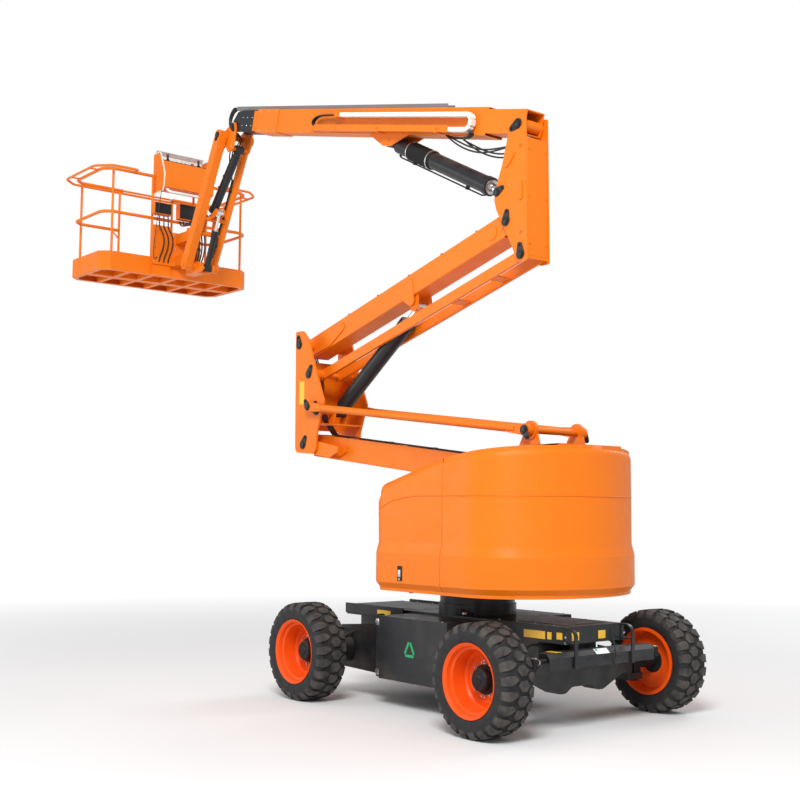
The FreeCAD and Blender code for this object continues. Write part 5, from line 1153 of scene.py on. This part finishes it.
def platform_tubes():
    rail = [(OUTER_X, -GATE_Y), (OUTER_X, CORNER - END_Y), (OUTER_X + CORNER, -END_Y), (INNER_X - CORNER, -END_Y),
            (INNER_X, CORNER - END_Y)]
    guard = [(GUARD_IN - 0.104, -0.62), (GUARD_IN, -0.62), (GUARD_IN, GUARD_CUT - GUARD_Y),
             (GUARD_IN - GUARD_CUT, -GUARD_Y), (GUARD_OUT + GUARD_CUT, -GUARD_Y), (GUARD_OUT, GUARD_CUT - GUARD_Y)]
    with piece("platform_tubes", "orange_paint", "platform", smooth=40, replaces="platform_rails") as bm:
        for z in (RAIL_Z, MID_Z):
            sweep(bm, bent_loop(rail, z, 0.12), RAIL_R, 20, smooth=False)
        for x, places in POSTS:
            for y in places:
                rod(bm, (x, y, FLOOR_Z), (x, y, RAIL_Z), POST_R, 20)
                stub(bm, (x, y, FLOOR_Z), (0, 0, 0.006), 0.026, 20, 0.002)
        for side in BOTH:
            block(bm, (OUTER_X + side * 0.014, -0.399, RAIL_Z - 0.014),
                  (OUTER_X + side * 0.022, -0.321, RAIL_Z + 0.014), 0.002)
            y = side * GATE_Y
            rod(bm, (OUTER_X, y, MID_Z - 0.11), (OUTER_X, y + side * 0.11, MID_Z), 0.009, 12)
            for x in (-3.695, -3.170):
                rod(bm, (x, side * 0.996, RAIL_Z), (x, side * GUARD_Y, RAIL_Z), BRACE_R, 14)
            rod(bm, (OUTER_X, side * 0.435, RAIL_Z), (GUARD_OUT, side * 0.435, RAIL_Z), BRACE_R, 14)
        sweep(bm, bent_loop(guard, RAIL_Z, 0.13), POST_R, 20, smooth=False)


def platform_fastenings():
    with piece("platform_bolts", "zinc", "platform") as bm:
        stub(bm, (OUTER_X - 0.024, -0.333, RAIL_Z), (0.048, 0, 0), 0.008, 16, 0.001)
        for y in (-0.890, 0.890, -0.600, 0.600, 0.0):
            for x, out in ((OUTER_X - 0.0245, -1), (INNER_X + 0.0245, 1)):
                bolt(bm, (x, y, KICK_Z + 0.195), (out, 0, 0), 0.008)
        for x in (-3.70, -3.43, -3.17):
            for side in BOTH:
                for rise in (0.195, 0.030):
                    bolt(bm, (x, side * 1.020, KICK_Z + rise), (0, side, 0), 0.008)
    with piece("gate_catch", "cast_metal", "platform") as bm:
        block(bm, (OUTER_X - 0.022, 0.352, RAIL_Z - 0.030), (OUTER_X + 0.022, 0.392, RAIL_Z - 0.0195), 0.003)
        block(bm, (OUTER_X - 0.024, 0.360, MID_Z - 0.015), (OUTER_X - 0.012, 0.400, MID_Z + 0.045), 0.003)


def floor_mesh():
    with piece("floor_mesh", "rim_paint", "platform") as bm:
        for k in range(LONG_BARS):
            y = LONG_Y + LONG_PITCH * k
            cut = max(abs(y) - 0.905, 0)
            block(bm, (-3.888 + cut, y - 0.0015, 4.5361), (-2.977 - cut, y + 0.0015, 4.5401))
        for k in range(CROSS_BARS):
            x = CROSS_X + CROSS_PITCH * k
            cut = max(abs(x + 3.4326) - 0.345, 0)
            block(bm, (x - 0.0015, cut - 1.005, 4.5356), (x + 0.0015, 1.005 - cut, 4.5366))


# Console and mount

CONSOLE_X, PANEL_Z = -2.9701, 5.906
GRIP = ((0.0, 0.0), (0.0, 0.034), (0.008, 0.032), (0.014, 0.024), (0.020, 0.026), (0.026, 0.018),
        (0.032, 0.019), (0.038, 0.010), (0.040, 0.0))
EDGE = ((-0.061, 5.500), (0.200, 5.500), (0.230, 5.700), (0.110, 6.000), (-0.061, 6.000))
GUARD_PIPE = ((-2.770, -0.290, 5.530), (-2.700, -0.290, 5.475), (-2.700, 0.290, 5.475), (-2.770, 0.290, 5.530))

# Lids of the two small boxes: y and z of their edges, and the x of their face
LIDS = ((-0.382, -0.163, 5.238, 5.367, -2.8791), (-0.042, 0.202, 5.220, 5.400, -2.8841))

# Hose fittings under the boxes: their y, z of the top and radius
FITTINGS = (((-0.020, 0.030, 0.080, 0.130, 0.180), 5.212, 0.013), ((-0.360, -0.300, -0.240, -0.180), 5.230, 0.012))
CORD = ((-2.800, -0.343, 5.520), (-2.780, -0.380, 5.300), (-2.820, -0.400, 5.000), (-2.850, -0.410, 4.760),
        (-2.880, -0.380, 4.640), (-2.900, -0.330, 4.700))


def console_controls():
    with piece("console_panel", "cast_metal", "platform") as bm:
        block(bm, (CONSOLE_X + 0.006, -0.315, 5.895), (CONSOLE_X + 0.118, 0.315, PANEL_Z), 0.004, 2)
    with piece("console_grips", "hose_rubber", "platform") as bm:
        for y in (-0.215, 0.215):
            turned(bm, GRIP, (CONSOLE_X + 0.062, y, 5.905), 28, UP)
            rod(bm, (CONSOLE_X + 0.062, y, 5.940), (CONSOLE_X + 0.060, y, 6.000), 0.012, 16, 0.004, 0.016)
        for k in range(3):
            stub(bm, (CONSOLE_X + 0.088, -0.100 + 0.055 * k, PANEL_Z), (0, 0, 0.010), 0.012, 20, 0.002)
    with piece("console_switches", "zinc", "platform") as bm:
        for k in range(7):
            spot = (CONSOLE_X + 0.040, -0.135 + 0.045 * k, PANEL_Z)
            stub(bm, spot, (0, 0, 0.005), 0.009, 16, 0.001)
            stub(bm, spot, (-0.004, 0, 0.020), 0.0032, 10, 0.001)
    with piece("console_stop", "red_button", "platform") as bm:
        stub(bm, (CONSOLE_X + 0.086, 0.115, PANEL_Z), (0, 0, 0.016), 0.012, 20)
        stub(bm, (CONSOLE_X + 0.086, 0.115, PANEL_Z + 0.014), (0, 0, 0.014), 0.021, 28, 0.004)


def console_shell():
    with piece("console_edges", "white_plastic", "platform", slot="white_plastic") as bm:
        for y in (-0.335, 0.335):
            sweep(bm, bent([(CONSOLE_X + x, y, z) for x, z in EDGE], 0.06), 0.0085, smooth=False)
        sweep(bm, bent(GUARD_PIPE, 0.05), 0.016, 16, smooth=False)
    with piece("rail_box_lids", "cast_metal", "platform") as bm:
        for y0, y1, z0, z1, x in LIDS:
            block(bm, (x - 0.004, y0, z0), (x + 0.006, y1, z1), 0.004, 2)
            for y in (y0 + 0.016, y1 - 0.016):
                for z in (z0 + 0.016, z1 - 0.016):
                    stub(bm, (x + 0.006, y, z), (0.003, 0, 0), 0.005, 12)


def mount_fittings():
    with piece("mount_bolts", "zinc", "platform") as bm:
        for places, z, radius in FITTINGS:
            for y in places:
                stub(bm, (-2.925, y, z), (0, 0, -0.022), radius, 6, 0.001)
        for y in (-0.355, -0.095, 0.165):
            for z in (4.650, 4.820, 4.990):
                bolt(bm, (-2.9051, y, z), (1, 0, 0), 0.012)
        for k in range(8):
            a = math.tau * (k + 0.5) / 8
            bolt(bm, ROTATOR + Vector((0.070 * math.cos(a), 0.070 * math.sin(a), 0.490)), UP, 0.007)
    with piece("mount_bands", "black_paint", "platform") as bm:
        for rise in (0.215, 0.300):
            turned(bm, [(0.0, 0.0855), (0.0, 0.090), (0.030, 0.090), (0.030, 0.0855)],
                   ROTATOR + Vector((0, 0, rise)), 40, UP)


def mount_hoses():
    with piece("mount_hoses", "hose_rubber", "platform") as bm:
        for y in (-0.300, -0.240, -0.180):
            sweep(bm, [(-2.925, y, 5.210), (-2.915, y, 5.120), (-2.885, y - 0.02, 5.080), (-2.870, y + 0.05, 4.950),
                       (-2.882, y + 0.04, 4.800), (-2.890, y, 4.700), (-2.900, y, 4.640)], 0.008)
        sweep(bm, CORD, 0.004, 8)
    with piece("turning_hoses", "hose_rubber", None,
               blend=("jib_head", "platform", (-2.490, 0, 4.650), (-2.880, 0, 5.120))) as bm:
        for k, y in enumerate((-0.020, 0.030, 0.080, 0.130)):
            out = 0.026 * k
            sweep(bm, [(-2.925, y, 5.195), (-2.920, y, 5.130), (-2.760, y * 0.4 - 0.02, 5.100 + out),
                       (-2.560 + out, -0.060 + out, 5.080 + out), (-2.450 + out, -0.050 + out, 4.900),
                       (-2.470, -0.030 + out * 1.4, 4.700), (-2.500, -0.030 + out, 4.600)], 0.0085)


# Operators

class BOOMLIFT_OT_stage(bpy.types.Operator):
    """Sets the camera, floor, sky and lamps"""
    bl_idname = "boomlift.stage"
    bl_label = "Stage"

    def execute(self, context):
        photo_camera()
        make_floor()
        make_sky()
        make_lamps()
        return {"FINISHED"}


class BOOMLIFT_OT_paint(bpy.types.Operator):
    """Makes the finishes and gives each solid its own"""
    bl_idname = "boomlift.paint"
    bl_label = "Paint the solids"

    def execute(self, context):
        make_materials()
        paint_nodes()
        return {"FINISHED"}


class BOOMLIFT_OT_wheels(bpy.types.Operator):
    """Makes the four tyres with their lugs, the dished rims, hubs and studs"""
    bl_idname = "boomlift.wheels"
    bl_label = "Wheels"

    def execute(self, context):
        for part in (tyre, rim):
            for wheel in WHEELS:
                axle = pin(f"wheel_{wheel}_spin")
                part(wheel, axle, 1 if axle.y > 0 else -1)
        return {"FINISHED"}


class BOOMLIFT_OT_hood(bpy.types.Operator):
    """Rounds the hood's shoulders and adds its crease, latches, turning stop and the ring's bolts"""
    bl_idname = "boomlift.hood"
    bl_label = "Hood"

    def execute(self, context):
        front, back = crease_lines()
        for side, far in NEAR_FAR:
            hood_panel(f"hood_door_{far}", f"door_{far}")
            crease(f"door_{far}_crease", f"door_{far}", [(x, side * y) for x, y in front])
            door_latch(side, far)
        hood_panel("hood_tail", "turntable")
        crease("tail_crease", "turntable", [(x, -y) for x, y in back] + back[-2::-1])
        ring_trim()
        return {"FINISHED"}


class BOOMLIFT_OT_chassis(bpy.types.Operator):
    """Adds the chassis' blank plates, bolts, hoses, strap and steering fittings"""
    bl_idname = "boomlift.chassis"
    bl_label = "Chassis"

    def execute(self, context):
        chassis_labels()
        chassis_bolts()
        deck_fittings()
        axle_lines()
        for side, far in NEAR_FAR:
            kingpin_caps(side, far)
        return {"FINISHED"}


class BOOMLIFT_OT_riser(bpy.types.Operator):
    """Adds the riser's pin keepers, plates, clips and hoses"""
    bl_idname = "boomlift.riser"
    bl_label = "Riser"

    def execute(self, context):
        pin_keepers()
        knuckle_plates()
        arm_plates()
        arm_hoses()
        knuckle_hoses()
        return {"FINISHED"}


class BOOMLIFT_OT_boom(bpy.types.Operator):
    """Adds the cable chain's links, the boom's pads, bolts and hoses, and the cylinders' lines"""
    bl_idname = "boomlift.boom"
    bl_label = "Boom and cylinders"

    def execute(self, context):
        cable_chain()
        boom_fittings()
        boom_hoses()
        for name, sizes in RAMS.items():
            cylinder_trim(name, *sizes)
            if name == "boom":
                boom_sleeve()
        return {"FINISHED"}


class BOOMLIFT_OT_jib(bpy.types.Operator):
    """Adds the tip's and jib's hoses, clips and bolts"""
    bl_idname = "boomlift.jib"
    bl_label = "Jib"

    def execute(self, context):
        tip_hoses()
        jib_fittings()
        return {"FINISHED"}


class BOOMLIFT_OT_platform(bpy.types.Operator):
    """Bends the platform's rails and adds its console, boxes, mesh, bolts and hoses"""
    bl_idname = "boomlift.platform"
    bl_label = "Platform"

    def execute(self, context):
        platform_tubes()
        platform_fastenings()
        floor_mesh()
        console_controls()
        console_shell()
        mount_fittings()
        mount_hoses()
        return {"FINISHED"}


OPERATORS = (BOOMLIFT_OT_stage, BOOMLIFT_OT_paint, BOOMLIFT_OT_wheels, BOOMLIFT_OT_hood, BOOMLIFT_OT_chassis,
             BOOMLIFT_OT_riser, BOOMLIFT_OT_boom, BOOMLIFT_OT_jib, BOOMLIFT_OT_platform)


class BOOMLIFT_PT_panel(bpy.types.Panel):
    """Lists the lift's sizes and colours and the steps that dress it"""
    bl_idname = "BOOMLIFT_PT_panel"
    bl_label = "Boom lift"
    bl_space_type = "VIEW_3D"
    bl_region_type = "UI"
    bl_category = "Boom lift"

    def draw(self, context):
        column = self.layout.column()
        for name in LiftSettings.__annotations__:
            column.prop(context.scene.boom_lift, name)
        for operator in OPERATORS:
            column.operator(operator.bl_idname)


CLASSES = (LiftSettings, *OPERATORS, BOOMLIFT_PT_panel)


def register():
    for item in CLASSES:
        bpy.utils.register_class(item)
    bpy.types.Scene.boom_lift = PointerProperty(type=LiftSettings)


def unregister():
    del bpy.types.Scene.boom_lift
    for item in reversed(CLASSES):
        bpy.utils.unregister_class(item)


def main():
    register()
    bpy.ops.boomlift.stage()
    bpy.ops.boomlift.paint()
    bpy.ops.boomlift.wheels()
    bpy.ops.boomlift.hood()
    bpy.ops.boomlift.chassis()
    bpy.ops.boomlift.riser()
    bpy.ops.boomlift.boom()
    bpy.ops.boomlift.jib()
    bpy.ops.boomlift.platform()


if __name__ == "__main__":
    main()
